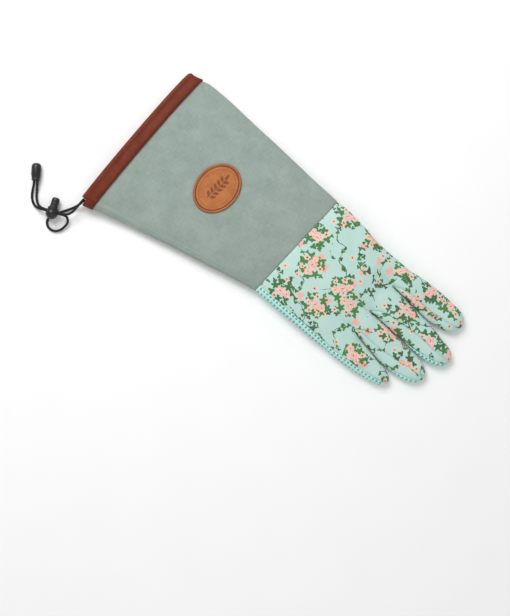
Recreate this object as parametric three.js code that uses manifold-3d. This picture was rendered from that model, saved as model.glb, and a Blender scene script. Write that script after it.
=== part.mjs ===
// Rose pruning gauntlet: a right-hand garden glove with a long canvas cuff, lying flat on its palm.
// Millimetres. +X runs from the cuff's mouth to the fingertips, +Y to the index-finger side, +Z up.
// The origin is the bottom centre of the glove's own box, without its cords.
import * as THREE from "three";
import { mergeVertices } from "three/addons/utils/BufferGeometryUtils.js";
import Module from "manifold-3d";

const wasm = await Module();
wasm.setup();

// Cloth
const CLOTH = 1.2;
const SEAM_GAP = 0.3;
const FINGER_GAP = 0.7;
const FOURCHETTE_GAP = 0.8;
const WIDEST_AT = 0.46;
const UNDERSIDE_PRESS = 0.6;

// Cuff
const CUFF_LENGTH = 197;
const WRIST_WIDTH = 121;
const CUFF_FLARE = 56.4;
const MOUTH_INSET = 9;
const MOUTH_SLANT = 7;
const SLANT_POWER = 1.5;
const WRIST_HEIGHT = 19;
const MOUTH_HEIGHT = 17.5;
const MOUTH_LIFT = 2.35;

// Binding and its channel
const BINDING_WIDTH = 15.5;
const BINDING_WALL = 1.2;
const CHANNEL_DEPTH = 5.2;
const CHANNEL_AT = 3.15;
const CHANNEL_SPARE = 0.2;
const CHANNEL_NECK = 0.8;
const CHANNEL_SHOULDER = 1.3;
const CHANNEL_BULGE = 0.75;
const CHANNEL_FACE = 0.5;
const NOSE_DEPTH = 0.5;
const BINDING_MARGIN = 6.9;
const NOTCH_DEPTH = 5;
const NOTCH_WIDTH = 7;
const NOTCH_OUTWARD = 10;
const NOTCH_HEIGHT = 60;

// Hand and fingers
const PALM_WIDTH = 115;
const CROTCH_REACH = 98;
const HAND_HEIGHT = 21;
const CROTCH_HEIGHT = 16.5;
const FINGER_HEIGHT = 12;
const VALLEY_RUN = 30;
const FINGER_HEIGHT_RUN = 48;
const TIP_TUCK = 1.2;
const INDEX_LENGTH = 78.5;
const MIDDLE_LENGTH = 94;
const RING_LENGTH = 86;
const LITTLE_LENGTH = 62.5;
const ROUNDNESS = 2.3;

// Thumb, folded under the palm
const THUMB_LENGTH = 112;
const THUMB_WIDTH = 33;
const THUMB_HEIGHT = 8;
const THUMB_ANGLE = -47;
const THUMB_BASE_X = 18;
const THUMB_BASE_Y = 52;
const THUMB_HOLE_LENGTH = 30;
const THUMB_HOLE_WIDTH = 20;
const THUMB_HOLE_REACH = 22;
const THUMB_CLEARANCE = 0.5;
const THUMB_DRAPE = 13;
const THUMB_MARGIN = 3;
const THUMB_TAPER = 0.12;
const THUMB_PRESS = 1.06;

// Patch
const PATCH_LENGTH = 43;
const PATCH_WIDTH = 54;
const PATCH_THICKNESS = 1.6;
const PATCH_TO_WRIST = 97;
const PATCH_OFF_MIDDLE = -14;
const PATCH_EDGE_DROP = 0.35;

// Drawcord, lock and cord end
const CORD = 2.5;
const CORD_STEP = 5;
const LOCK_BALL = 12.4;
const LOCK_COLLAR = 10.8;
const LOCK_BORE = 8.6;
const LOCK_FLOOR = 1.5;
const LOCK_RIM = 5.6;
const LOCK_EDGE = 0.4;
const LOCK_BORE_CHAMFER = 1.8;
const PLUNGER = 8;
const PLUNGER_REACH = 16.3;
const PLUNGER_TRAVEL = 3;
const PLUNGER_FOOT = 1;
const PLUNGER_CROWN = 1.8;
const PLUNGER_BEVEL = 0.6;
const CORD_HOLE_AT = 1.8;
const CORD_HOLE_WIDTH = 5.9;
const LOCK_AT = { x: -201.9, y: -144.6, z: 9.1 };
const LOCK_HEADING = 117.5;
const LOCK_DIP = 15;
const END_LENGTH = 17.6;
const END_DIAMETER = 10;
const END_SOCKET_DEPTH = 8;
const END_SOCKET_SPREAD = 1.75;
const END_AT = { x: -236.4, y: -131.9, z: 5.1 };
const END_HEADING = 129.9;

// Free strands, chosen points from the casing's mouth to the cord end
const SHORT_STRAND = [
  [-187.3, -112.0, 13.8],
  [-187.3, -117.5, 12.4],
  [-187.2, -124.0, 11.0],
  [-187.4, -130.0, 10.4],
  [-189.6, -135.0, 10.1],
  [-195.8, -139.0, 10.0],
  [-202.9, -142.7, 10.0],
  [-210.0, -146.4, 9.9],
  [-216.2, -147.9, 7.6],
  [-221.6, -146.2, 4.0],
  [-226.4, -142.2, 1.9],
  [-229.9, -137.4, 3.2],
  [-233.1, -133.1, 5.0],
  [-240.0, -124.9, 5.1],
];
const LONG_STRAND = [
  [-187.3, -112.0, 7.4],
  [-187.5, -117.0, 7.0],
  [-188.9, -122.5, 4.8],
  [-191.8, -128.8, 2.2],
  [-195.6, -135.6, 1.4],
  [-199.3, -142.4, 1.4],
  [-201.8, -148.6, 1.4],
  [-200.8, -154.2, 1.4],
  [-196.0, -157.6, 1.5],
  [-189.9, -156.9, 1.7],
  [-185.6, -152.6, 2.3],
  [-184.0, -146.6, 3.4],
  [-184.6, -140.6, 5.0],
  [-188.6, -137.4, 6.7],
  [-195.4, -139.7, 7.26],
  [-202.5, -143.4, 7.26],
  [-209.6, -147.1, 7.2],
  [-215.8, -150.2, 4.8],
  [-221.8, -150.7, 1.9],
  [-227.6, -147.6, 1.4],
  [-232.2, -141.8, 2.8],
  [-235.8, -135.3, 4.9],
  [-242.7, -127.1, 5.1],
];

// Cuff, by share of its length from the wrist: shares of the flare, inset, slant and mouth lift
const CUFF_SECTIONS = [
  { along: 0.0, flare: 0.0, inset: 0.0, slant: 0.0, height: 0.0, lift: 0.0 },
  { along: 0.25, flare: 0.24, inset: 0.0, slant: 0.05, height: 0.45, lift: 0.0 },
  { along: 0.5, flare: 0.48, inset: 0.0, slant: 0.25, height: 0.9, lift: 0.0 },
  { along: 0.75, flare: 0.725, inset: 0.0, slant: 0.7, height: 1.1, lift: 0.05 },
  { along: 0.88, flare: 0.855, inset: 0.14, slant: 1.0, height: 1.0, lift: 0.6 },
  { along: 0.94, flare: 0.925, inset: 0.6, slant: 1.0, height: 1.0, lift: 1.0 },
  { along: 1.0, flare: 1.0, inset: 1.0, slant: 1.0, height: 1.0, lift: 1.0 },
];

// Hand, by share of the reach to the finger crotches: edges as shares of the palm's width from its
// middle line, height as a share of the way from the wrist's to the hand's height
const HAND_SECTIONS = [
  { along: 0.0, index_edge: 0.511, little_edge: -0.541, height: 0.0 },
  { along: 0.14, index_edge: 0.525, little_edge: -0.536, height: 0.7 },
  { along: 0.35, index_edge: 0.511, little_edge: -0.528, height: 1.0 },
  { along: 0.54, index_edge: 0.494, little_edge: -0.52, height: 1.0 },
  { along: 0.84, index_edge: 0.498, little_edge: -0.508, height: 0.55 },
  { along: 1.0, index_edge: 0.5, little_edge: -0.5, height: 0.0 },
];

// Where the fingers part, as shares of the palm's width from its index edge
const PARTINGS = [0.198, 0.494, 0.71];

// Fingers, by share of their length from the crotch: centre and width as shares of the palm's width.
// back_from and back_to are the angles of the back's seams round the finger, from its index side over
// the top, and palm_from is where the palm begins again on the little-finger side.
const FINGERS = [
  {
    name: "index",
    length: INDEX_LENGTH,
    rounding: 0.8,
    sections: [
      { along: 0.0, centre: 0.401, width: 0.197, back_from: 0, back_to: 155, palm_from: 205 },
      { along: 0.12, centre: 0.41, width: 0.215, back_from: 0, back_to: 132, palm_from: 222 },
      { along: 0.28, centre: 0.418, width: 0.239, back_from: 0, back_to: 119, palm_from: 230 },
      { along: 0.6, centre: 0.422, width: 0.26, back_from: 0, back_to: 112, palm_from: 222 },
      { along: 0.8, centre: 0.435, width: 0.234, back_from: 0, back_to: 108, palm_from: 200 },
      { along: 1.0, centre: 0.438, width: 0.23, back_from: 0, back_to: 106, palm_from: 175 },
    ],
  },
  {
    name: "middle",
    length: MIDDLE_LENGTH,
    rounding: 0.79,
    sections: [
      { along: 0.0, centre: 0.154, width: 0.296, back_from: 25, back_to: 155, palm_from: 205 },
      { along: 0.1, centre: 0.154, width: 0.292, back_from: 16, back_to: 122, palm_from: 216 },
      { along: 0.3, centre: 0.152, width: 0.284, back_from: 12, back_to: 105, palm_from: 212 },
      { along: 0.55, centre: 0.148, width: 0.276, back_from: 11, back_to: 93, palm_from: 165 },
      { along: 0.8, centre: 0.14, width: 0.235, back_from: 11, back_to: 90, palm_from: 135 },
      { along: 1.0, centre: 0.155, width: 0.21, back_from: 11, back_to: 90, palm_from: 130 },
    ],
  },
  {
    name: "ring",
    length: RING_LENGTH,
    rounding: 0.79,
    sections: [
      { along: 0.0, centre: -0.102, width: 0.216, back_from: 25, back_to: 155, palm_from: 205 },
      { along: 0.12, centre: -0.108, width: 0.232, back_from: 16, back_to: 130, palm_from: 218 },
      { along: 0.3, centre: -0.116, width: 0.25, back_from: 12, back_to: 118, palm_from: 222 },
      { along: 0.56, centre: -0.125, width: 0.27, back_from: 11, back_to: 100, palm_from: 180 },
      { along: 0.79, centre: -0.117, width: 0.24, back_from: 11, back_to: 91, palm_from: 143 },
      { along: 1.0, centre: -0.108, width: 0.2, back_from: 11, back_to: 90, palm_from: 135 },
    ],
  },
  {
    name: "little",
    length: LITTLE_LENGTH,
    rounding: 0.74,
    sections: [
      { along: 0.0, centre: -0.355, width: 0.29, back_from: 25, back_to: 137, palm_from: 137 },
      { along: 0.15, centre: -0.357, width: 0.268, back_from: 16, back_to: 131, palm_from: 131 },
      { along: 0.4, centre: -0.358, width: 0.232, back_from: 12, back_to: 126, palm_from: 126 },
      { along: 0.75, centre: -0.349, width: 0.176, back_from: 11, back_to: 120, palm_from: 120 },
      { along: 1.0, centre: -0.341, width: 0.15, back_from: 11, back_to: 118, palm_from: 118 },
    ],
  },
];

// Cord end, by share of its length from the cords' side: radius as a share of half its diameter
const END_SECTIONS = [
  { along: 0.0, radius: 0.0 },
  { along: 0.0, radius: 0.76 },
  { along: 0.034, radius: 0.86 },
  { along: 0.239, radius: 0.9 },
  { along: 0.307, radius: 0.98 },
  { along: 0.773, radius: 1.0 },
  { along: 0.92, radius: 0.86 },
  { along: 1.0, radius: 0.56 },
  { along: 1.0, radius: 0.0 },
];

// Stations along the pieces, as shares, and steps round their sections
const CUFF_STATIONS = [0.0, 0.14, 0.3, 0.47, 0.64, 0.8];
const HAND_STATIONS = [0.0, 0.1, 0.22, 0.35, 0.48, 0.61, 0.74, 0.84, 0.93];
const FINGER_STATIONS = [0.05, 0.13, 0.23, 0.35, 0.48, 0.61, 0.72, 0.81, 0.88, 0.935, 0.975];
const THUMB_STATIONS = [0.012, 0.05, 0.12, 0.24, 0.4, 0.56, 0.72, 0.85, 0.94, 0.985];
const BACK_STEPS = 5;
const PALM_STEPS = 5;
const EDGE_STEPS = 3;
const FOURCHETTE_STEPS = 2;
const FOURCHETTE_ROWS = FINGER_STATIONS.length - 1;
const THUMB_STEPS = 6;
const PATCH_RINGS = [0.0, 0.4, 0.75, 0.95, 1.0];
const PATCH_STEPS = 24;
const LATHE_SIDES = 16;
const BALL_STEPS = 6;
const SOCKET_SIDES = 12;
const CORD_SIDES = 8;
const OVAL_STEPS = 8;
const LITTLE_SEAM_ANGLE = 152;

// Probes and tolerances
const WELD = 1e-4;
const TURN_PROBE = 0.5;
const RUN_PROBE = 0.01;
const ANGLE_TOLERANCE = 0.01;
const LEAST_TURN = 0.3;

// Colours
const CANVAS = { color: 0x96a69e, roughness: 0.9, metalness: 0 };
const BROWN = { color: 0x7e3b24, roughness: 0.55, metalness: 0 };
const TAN = { color: 0xb9784a, roughness: 0.6, metalness: 0 };
const FLORAL = { color: 0xbee6de, roughness: 0.85, metalness: 0 };
const DOTTED = { color: 0x8fd8c8, roughness: 0.8, metalness: 0 };
const CORD_BLACK = { color: 0x17181a, roughness: 0.8, metalness: 0 };
const PLASTIC_BLACK = { color: 0x17181a, roughness: 0.4, metalness: 0 };

const radians = THREE.MathUtils.degToRad;
const lerp = THREE.MathUtils.lerp;
const clamp = THREE.MathUtils.clamp;

// A column of a table at any place along it, on a smooth curve through its rows.
function follow(table, column, at) {
  let row = 0;
  while (row < table.length - 2 && at > table[row + 1].along) row += 1;
  const slope = (i) => {
    const before = table[Math.max(i - 1, 0)];
    const after = table[Math.min(i + 1, table.length - 1)];
    return (after[column] - before[column]) / (after.along - before.along);
  };
  const start = table[row];
  const end = table[row + 1];
  const span = end.along - start.along;
  const t = clamp((at - start.along) / span, 0, 1);
  const rise = end[column] - start[column];
  const leave = slope(row) * span;
  const arrive = slope(row + 1) * span;
  const bend = leave * (1 - t) - arrive * t - rise * (1 - 2 * t);
  return start[column] + rise * t + t * (1 - t) * bend;
}

function smooth(t) {
  const c = clamp(t, 0, 1);
  return c * c * (3 - 2 * c);
}

// Height and side shares of a rounded flat section at an angle from its +Y side over the top.
function rounded(angle) {
  const c = Math.cos(radians(angle));
  const s = Math.sin(radians(angle));
  const power = 2 / ROUNDNESS;
  return { side: Math.sign(c) * Math.abs(c) ** power, rise: Math.sign(s) * Math.abs(s) ** power };
}

// The angle over the top at which a section reaches a share of its width from the index edge.
function angleAt(share) {
  const side = 1 - 2 * share;
  const c = Math.sign(side) * Math.abs(side) ** (ROUNDNESS / 2);
  return THREE.MathUtils.radToDeg(Math.acos(c));
}

// A section that lies on the ground: its underside is pressed flat at its lowest stretch.
function restingPoint(x, yIndex, yLittle, height, ground, angle) {
  const { side, rise } = rounded(angle);
  const y = (yIndex + yLittle) / 2 + ((yIndex - yLittle) / 2) * side;
  const middle = height * WIDEST_AT;
  const under = middle + UNDERSIDE_PRESS;
  const z = rise > 0 ? middle + (height - middle) * rise : Math.max(middle + under * rise, 0);
  return new THREE.Vector3(x, y, ground + z);
}

function cuffPoint(along, angle) {
  const share = (column) => follow(CUFF_SECTIONS, column, along);
  const yWrist = PALM_WIDTH * HAND_SECTIONS[0].index_edge;
  const yIndex = yWrist - MOUTH_INSET * share("inset");
  const yLittle = yWrist - WRIST_WIDTH - CUFF_FLARE * share("flare");
  const height = lerp(WRIST_HEIGHT, MOUTH_HEIGHT, share("height"));
  const ground = MOUTH_LIFT * share("lift");
  const point = restingPoint(0, yIndex, yLittle, height, ground, angle);
  const across = clamp((yIndex - point.y) / (yIndex - yLittle), 0, 1);
  point.x = -CUFF_LENGTH * along + MOUTH_SLANT * share("slant") * across ** SLANT_POWER;
  return point;
}

function handPoint(along, angle) {
  const yIndex = PALM_WIDTH * follow(HAND_SECTIONS, "index_edge", along);
  const yLittle = PALM_WIDTH * follow(HAND_SECTIONS, "little_edge", along);
  const height = handHeight(along);
  return restingPoint(CROTCH_REACH * along, yIndex, yLittle, height, 0, angle);
}

function handHeight(along) {
  const full = follow(HAND_SECTIONS, "height", along);
  const from = along < 0.5 ? WRIST_HEIGHT : CROTCH_HEIGHT;
  return lerp(from, HAND_HEIGHT, full);
}

// The two edges of every finger at a distance past the crotches, kept apart by the finger gap.
function fingerEdges(reach) {
  const edges = FINGERS.map((finger) => {
    const along = clamp(reach / finger.length, 0, 1);
    const centre = PALM_WIDTH * follow(finger.sections, "centre", along);
    const half = (PALM_WIDTH * follow(finger.sections, "width", along)) / 2;
    return { index: centre + half, little: centre - half };
  });
  const gap = FINGER_GAP * Math.sqrt(clamp(reach / VALLEY_RUN, 0, 1));
  for (let f = 0; f < edges.length - 1; f += 1) {
    const middle = (edges[f].little + edges[f + 1].index) / 2;
    edges[f].little = Math.max(edges[f].little, middle + gap / 2);
    edges[f + 1].index = Math.min(edges[f + 1].index, middle - gap / 2);
  }
  return edges;
}

// A finger narrows to its tip as the quarter of an ellipse.
function tipShare(finger, along) {
  const past = clamp((along - finger.rounding) / (1 - finger.rounding), 0, 1);
  return Math.sqrt(1 - past * past);
}

function fingerPoint(f, along, angle) {
  const finger = FINGERS[f];
  const reach = finger.length * along;
  const edges = fingerEdges(reach)[f];
  const centre = (edges.index + edges.little) / 2;
  const share = tipShare(finger, along);
  const half = ((edges.index - edges.little) / 2) * share;
  const full = lerp(CROTCH_HEIGHT, FINGER_HEIGHT, smooth(reach / FINGER_HEIGHT_RUN));
  const height = full * share;
  const { side, rise } = rounded(angle);
  const middle = (full + FINGER_HEIGHT) / 4;
  const tuck = TIP_TUCK * (1 - share);
  const z = middle - tuck + (height / 2) * rise;
  return new THREE.Vector3(CROTCH_REACH + reach, centre + half * side, Math.max(z, 0));
}

// How high the palm lies over the folded thumb at a point of the ground.
function thumbLift(x, y) {
  const heading = radians(THUMB_ANGLE);
  const dx = x - THUMB_BASE_X;
  const dy = y - THUMB_BASE_Y;
  const along = dx * Math.cos(heading) + dy * Math.sin(heading);
  const across = dy * Math.cos(heading) - dx * Math.sin(heading);
  const round = THUMB_WIDTH / 2;
  const nearest = clamp(along, round, THUMB_LENGTH - round);
  const distance = Math.hypot(along - nearest, across) - round;
  return (THUMB_HEIGHT + THUMB_CLEARANCE) * (1 - smooth((distance - THUMB_MARGIN) / THUMB_DRAPE));
}

// Sections over the thumb are squeezed between it and the glove's top.
function drape(point) {
  const lift = thumbLift(point.x, point.y);
  const along = clamp(point.x / CROTCH_REACH, 0, 1);
  point.z = lift + point.z * (1 - lift / handHeight(along));
  return point;
}

// A skin is one welded surface whose faces name the panel that they belong to.
class Skin {
  constructor() {
    this.points = [];
    this.keys = new Map();
    this.faces = [];
  }

  vertex(key, make) {
    if (!this.keys.has(key)) {
      this.keys.set(key, this.points.length);
      this.points.push(make());
    }
    return this.keys.get(key);
  }

  triangle(panel, a, b, c) {
    if (a !== b && b !== c && c !== a) this.faces.push({ panel, corners: [a, b, c] });
  }

  // A quad whose corners run round it against the clock, seen from outside.
  quad(panel, a, b, c, d) {
    this.triangle(panel, a, b, c);
    this.triangle(panel, a, c, d);
  }

  normals() {
    const sums = this.points.map(() => new THREE.Vector3());
    for (const { corners } of this.faces) {
      const [a, b, c] = corners.map((i) => this.points[i]);
      const normal = b.clone().sub(a).cross(c.clone().sub(a)).normalize();
      corners.forEach((i, n) => {
        const next = this.points[corners[(n + 1) % 3]].clone().sub(this.points[i]);
        const last = this.points[corners[(n + 2) % 3]].clone().sub(this.points[i]);
        sums[i].addScaledVector(normal, next.angleTo(last));
      });
    }
    return sums.map((sum) => sum.normalize());
  }

  // A panel as a wall that stands back from its seams by half the seam gap.
  wall(panel, thickness, gap = SEAM_GAP) {
    const normals = this.normals();
    const faces = this.faces.filter((face) => face.panel === panel).map((face) => face.corners);
    const edges = openEdges(faces);
    const pulls = seamPulls(this.points, normals, faces, edges, gap / 2);
    const local = new Map();
    const positions = [];
    for (const index of new Set(faces.flat())) {
      local.set(index, positions.length);
      const outer = this.points[index].clone().add(pulls.get(index) ?? new THREE.Vector3());
      outer.z = Math.max(outer.z, 0);
      const inner = outer.clone().addScaledVector(normals[index], -thickness);
      positions.push(outer, inner);
    }
    const triangles = [];
    for (const [a, b, c] of faces) {
      const [i, j, k] = [local.get(a), local.get(b), local.get(c)];
      triangles.push([i, j, k], [i + 1, k + 1, j + 1]);
    }
    for (const [a, b] of edges) {
      const [i, j] = [local.get(a), local.get(b)];
      triangles.push([j, i, i + 1], [j, i + 1, j + 1]);
    }
    return meshGeometry(positions, triangles);
  }
}

function openEdges(faces) {
  const seen = new Set();
  for (const [a, b, c] of faces) {
    for (const [i, j] of [[a, b], [b, c], [c, a]]) seen.add(`${i} ${j}`);
  }
  const open = [...seen].map((edge) => edge.split(" ").map(Number));
  return open.filter(([i, j]) => !seen.has(`${j} ${i}`));
}

// How far each seam point moves into its panel, so that its edge stands back by half the gap.
function seamPulls(points, normals, faces, edges, distance) {
  const inward = new Map();
  for (const corners of faces) {
    corners.forEach((i, n) => {
      const next = points[corners[(n + 1) % 3]].clone().sub(points[i]).normalize();
      const last = points[corners[(n + 2) % 3]].clone().sub(points[i]).normalize();
      const sum = inward.get(i) ?? new THREE.Vector3();
      sum.addScaledVector(next.clone().add(last).normalize(), next.angleTo(last));
      inward.set(i, sum);
    });
  }
  const along = new Map();
  for (const [i, j] of edges) {
    const run = points[j].clone().sub(points[i]).normalize();
    for (const end of [i, j]) along.set(end, [...(along.get(end) ?? []), run]);
  }
  const pulls = new Map();
  for (const [index, runs] of along) {
    const pull = inward.get(index).clone();
    pull.addScaledVector(normals[index], -pull.dot(normals[index])).normalize();
    const clear = Math.min(...runs.map((run) => pull.clone().cross(run).length()));
    pulls.set(index, pull.multiplyScalar(distance / Math.max(clear, LEAST_TURN)));
  }
  return pulls;
}

function meshGeometry(positions, triangles) {
  const geometry = new THREE.BufferGeometry();
  const numbers = positions.flatMap((point) => point.toArray());
  geometry.setAttribute("position", new THREE.Float32BufferAttribute(numbers, 3));
  geometry.setIndex(triangles.flat());
  return geometry;
}

function solid(geometry) {
  const bare = geometry.index ? geometry.clone() : geometry;
  bare.deleteAttribute("normal");
  bare.deleteAttribute("uv");
  const merged = mergeVertices(bare, WELD);
  const vertProperties = new Float32Array(merged.attributes.position.array);
  const triVerts = new Uint32Array(merged.index.array);
  return new wasm.Manifold(new wasm.Mesh({ numProp: 3, vertProperties, triVerts }));
}

function geometryOf(manifold) {
  const mesh = manifold.getMesh();
  const geometry = new THREE.BufferGeometry();
  const numbers = new Float32Array(mesh.vertProperties);
  geometry.setAttribute("position", new THREE.BufferAttribute(numbers, 3));
  geometry.setIndex(new THREE.BufferAttribute(new Uint32Array(mesh.triVerts), 1));
  return geometry;
}

const LITTLE = FINGERS.length - 1;
const BACK_PLACES = FINGERS.length * BACK_STEPS;
const FOURCHETTES = ["fourchette_index_middle", "fourchette_middle_ring", "fourchette_ring_little"];
const CROTCH_ROW = HAND_STATIONS.length + CUFF_STATIONS.length + 2;
const RING = ringAngles();

// Angles round the wrist, palm and cuff: over the four finger backs, then under the four fingers.
function ringAngles() {
  const tops = [0, ...PARTINGS.map(angleAt), LITTLE_SEAM_ANGLE];
  const unders = [LITTLE_SEAM_ANGLE, ...PARTINGS.map((share) => 360 - angleAt(share)).reverse(), 360];
  const angles = [];
  for (let f = 0; f <= LITTLE; f += 1) {
    for (let n = 0; n < BACK_STEPS; n += 1) angles.push(lerp(tops[f], tops[f + 1], n / BACK_STEPS));
  }
  for (let f = LITTLE; f >= 0; f -= 1) {
    const steps = palmSteps(f);
    const [from, to] = [unders[LITTLE - f], unders[LITTLE - f + 1]];
    for (let n = 0; n < steps; n += 1) angles.push(lerp(from, to, n / steps));
  }
  return angles;
}

// The palm wraps the little finger's edge, so it takes more steps there.
function palmSteps(f) {
  return f === LITTLE ? PALM_STEPS + EDGE_STEPS : PALM_STEPS;
}

// The ring places at which a finger's back and palm begin and end.
function ringSpans(f) {
  const back = f * BACK_STEPS;
  const past = f === LITTLE ? 0 : palmSteps(LITTLE) + (LITTLE - 1 - f) * PALM_STEPS;
  return { back, palm: BACK_PLACES + past };
}

// The finger's own point at a place of the ring, just before or at the crotch.
function ringFingerPoint(place, along) {
  const owners = [];
  for (let f = 0; f <= LITTLE; f += 1) {
    const spans = ringSpans(f);
    const row = FINGERS[f].sections[0];
    const palmEnd = f === 0 ? 360 : 360 - row.back_from;
    const backStep = place - spans.back;
    const palmStep = (place === 0 ? RING.length : place) - spans.palm;
    if (backStep >= 0 && backStep <= BACK_STEPS) {
      owners.push([f, lerp(row.back_from, row.back_to, backStep / BACK_STEPS)]);
    } else if (palmStep >= 0 && palmStep <= palmSteps(f)) {
      owners.push([f, lerp(row.palm_from, palmEnd, palmStep / palmSteps(f))]);
    }
  }
  const mean = new THREE.Vector3();
  for (const [f, angle] of owners) mean.add(fingerPoint(f, 0, angle));
  mean.divideScalar(owners.length);
  mean.x = CROTCH_REACH * along;
  return mean;
}

function bodyPoint(along, place) {
  if (along < 0) return cuffPoint(-along, RING[place]);
  const broad = handPoint(along, RING[place]);
  const start = 1 - VALLEY_RUN / CROTCH_REACH;
  const mix = smooth((along - start) / (1 - start));
  return drape(broad.lerp(ringFingerPoint(place, along), mix));
}

// The finger's ring of places, each with its key at the crotch and its angle along the finger.
function fingerRing(f, along) {
  const { sections } = FINGERS[f];
  const spans = ringSpans(f);
  const backFrom = follow(sections, "back_from", along);
  const backTo = follow(sections, "back_to", along);
  const palmFrom = follow(sections, "palm_from", along);
  const places = [];
  const add = (count, from, to, panel, keyAt) => {
    for (let n = 0; n < count; n += 1) {
      places.push({ panel, angle: lerp(from, to, n / count), crotch: keyAt(n) });
    }
  };
  const bodyKey = (place) => `body ${CROTCH_ROW} ${place % RING.length}`;
  const foldKey = (side, n) => (n === 0 ? null : `fold ${side} ${n}`);
  add(BACK_STEPS, backFrom, backTo, "hand_back", (n) => bodyKey(spans.back + n));
  if (f < LITTLE) {
    const top = bodyKey(spans.back + BACK_STEPS);
    add(FOURCHETTE_STEPS, backTo, palmFrom, FOURCHETTES[f], (n) => foldKey(f, n) ?? top);
  }
  const palmEnd = f === 0 ? 360 : 360 - backFrom;
  add(palmSteps(f), palmFrom, palmEnd, "hand_palm", (n) => bodyKey(spans.palm + n));
  if (f > 0) {
    const under = bodyKey(spans.palm + palmSteps(f));
    const key = (n) => (n === 0 ? under : foldKey(f - 1, FOURCHETTE_STEPS - n));
    add(FOURCHETTE_STEPS, 360 - backFrom, 360 + backFrom, FOURCHETTES[f - 1], key);
  }
  return places;
}

// Rows of the body from the mouth to the crotches: shares below 0 are cuff, above 0 hand.
function bodyRows() {
  const band = BINDING_WIDTH / CUFF_LENGTH;
  const end = CHANNEL_DEPTH / CUFF_LENGTH;
  const margin = BINDING_MARGIN / CUFF_LENGTH;
  const cuff = [1 - end, 1 - band, 1 - band - margin, ...CUFF_STATIONS.slice(1).reverse()];
  return [...cuff.map((along) => -along), ...HAND_STATIONS, 1];
}

// The fold of a fourchette in the crotch, between the back's seam and the palm's.
function foldPoint(side, n) {
  const share = n / FOURCHETTE_STEPS;
  const near = FINGERS[side].sections[0];
  const far = FINGERS[side + 1].sections[0];
  const one = fingerPoint(side, 0, lerp(near.back_to, near.palm_from, share));
  const two = fingerPoint(side + 1, 0, lerp(far.back_from, -far.back_from, share));
  return drape(one.add(two).multiplyScalar(0.5));
}

function gloveSkin() {
  const skin = new Skin();
  const rows = bodyRows();
  const bodyVertex = (row, place) => {
    const at = place % RING.length;
    return skin.vertex(`body ${row} ${at}`, () => bodyPoint(rows[row], at));
  };
  for (let row = 0; row < rows.length - 1; row += 1) {
    for (let place = 0; place < RING.length; place += 1) {
      const hand = place < BACK_PLACES ? "hand_back" : "hand_palm";
      const panel = rows[row + 1] <= 0 ? "cuff" : hand;
      const corners = [
        bodyVertex(row, place),
        bodyVertex(row, place + 1),
        bodyVertex(row + 1, place + 1),
        bodyVertex(row + 1, place),
      ];
      skin.quad(panel, ...corners);
    }
  }
  for (let side = 0; side < LITTLE; side += 1) {
    for (let n = 1; n < FOURCHETTE_STEPS; n += 1) {
      skin.vertex(`fold ${side} ${n}`, () => foldPoint(side, n));
    }
  }
  FINGERS.forEach((finger, f) => {
    const ringKeys = (row) => {
      if (row === 0) return fingerRing(f, 0).map((place) => skin.vertex(place.crotch));
      if (row > FINGER_STATIONS.length) {
        const tip = skin.vertex(`tip ${f}`, () => fingerPoint(f, 1, 0));
        return fingerRing(f, 1).map(() => tip);
      }
      const along = FINGER_STATIONS[row - 1];
      const places = fingerRing(f, along);
      return places.map((place, n) =>
        skin.vertex(`${finger.name} ${row} ${n}`, () => drape(fingerPoint(f, along, place.angle))),
      );
    };
    const panels = fingerRing(f, 0).map((place) => place.panel);
    for (let row = 0; row <= FINGER_STATIONS.length; row += 1) {
      const near = ringKeys(row);
      const far = ringKeys(row + 1);
      panels.forEach((panel, n) => {
        const next = (n + 1) % panels.length;
        const past = row >= FOURCHETTE_ROWS && FOURCHETTES.includes(panel);
        skin.quad(past ? "hand_back" : panel, near[n], near[next], far[next], far[n]);
      });
    }
  });
  return skin;
}

// The thumb as a flat rounded tube, closed at both ends, upper half dotted and lower half floral.
function thumbPoint(along, angle) {
  const run = THUMB_LENGTH * along;
  const round = THUMB_WIDTH / 2;
  const toEnd = clamp(Math.min(run, THUMB_LENGTH - run) / round, 0, 1);
  const share = Math.sqrt(1 - (1 - toEnd) ** 2);
  const taper = 1 - THUMB_TAPER * smooth(along);
  const { side, rise } = rounded(angle);
  const across = round * share * taper * side;
  const half = THUMB_HEIGHT / 2;
  const flat = rise > 0 ? half * share * rise : Math.max(half * THUMB_PRESS * share * rise, -half);
  const heading = radians(THUMB_ANGLE);
  const x = THUMB_BASE_X + run * Math.cos(heading) - across * Math.sin(heading);
  const y = THUMB_BASE_Y + run * Math.sin(heading) + across * Math.cos(heading);
  return new THREE.Vector3(x, y, half + flat);
}

function thumbSkin() {
  const skin = new Skin();
  const count = THUMB_STEPS * 2;
  const rows = [0, ...THUMB_STATIONS, 1];
  const vertex = (row, n) => {
    const end = row === 0 || row === rows.length - 1;
    const key = end ? `end ${row}` : `thumb ${row} ${n % count}`;
    return skin.vertex(key, () => thumbPoint(rows[row], (360 * n) / count));
  };
  for (let row = 0; row < rows.length - 1; row += 1) {
    for (let n = 0; n < count; n += 1) {
      const panel = n < THUMB_STEPS ? "thumb_front" : "thumb_back";
      const near = [vertex(row, n), vertex(row, n + 1)];
      skin.quad(panel, ...near, vertex(row + 1, n + 1), vertex(row + 1, n));
    }
  }
  return skin;
}

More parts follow.
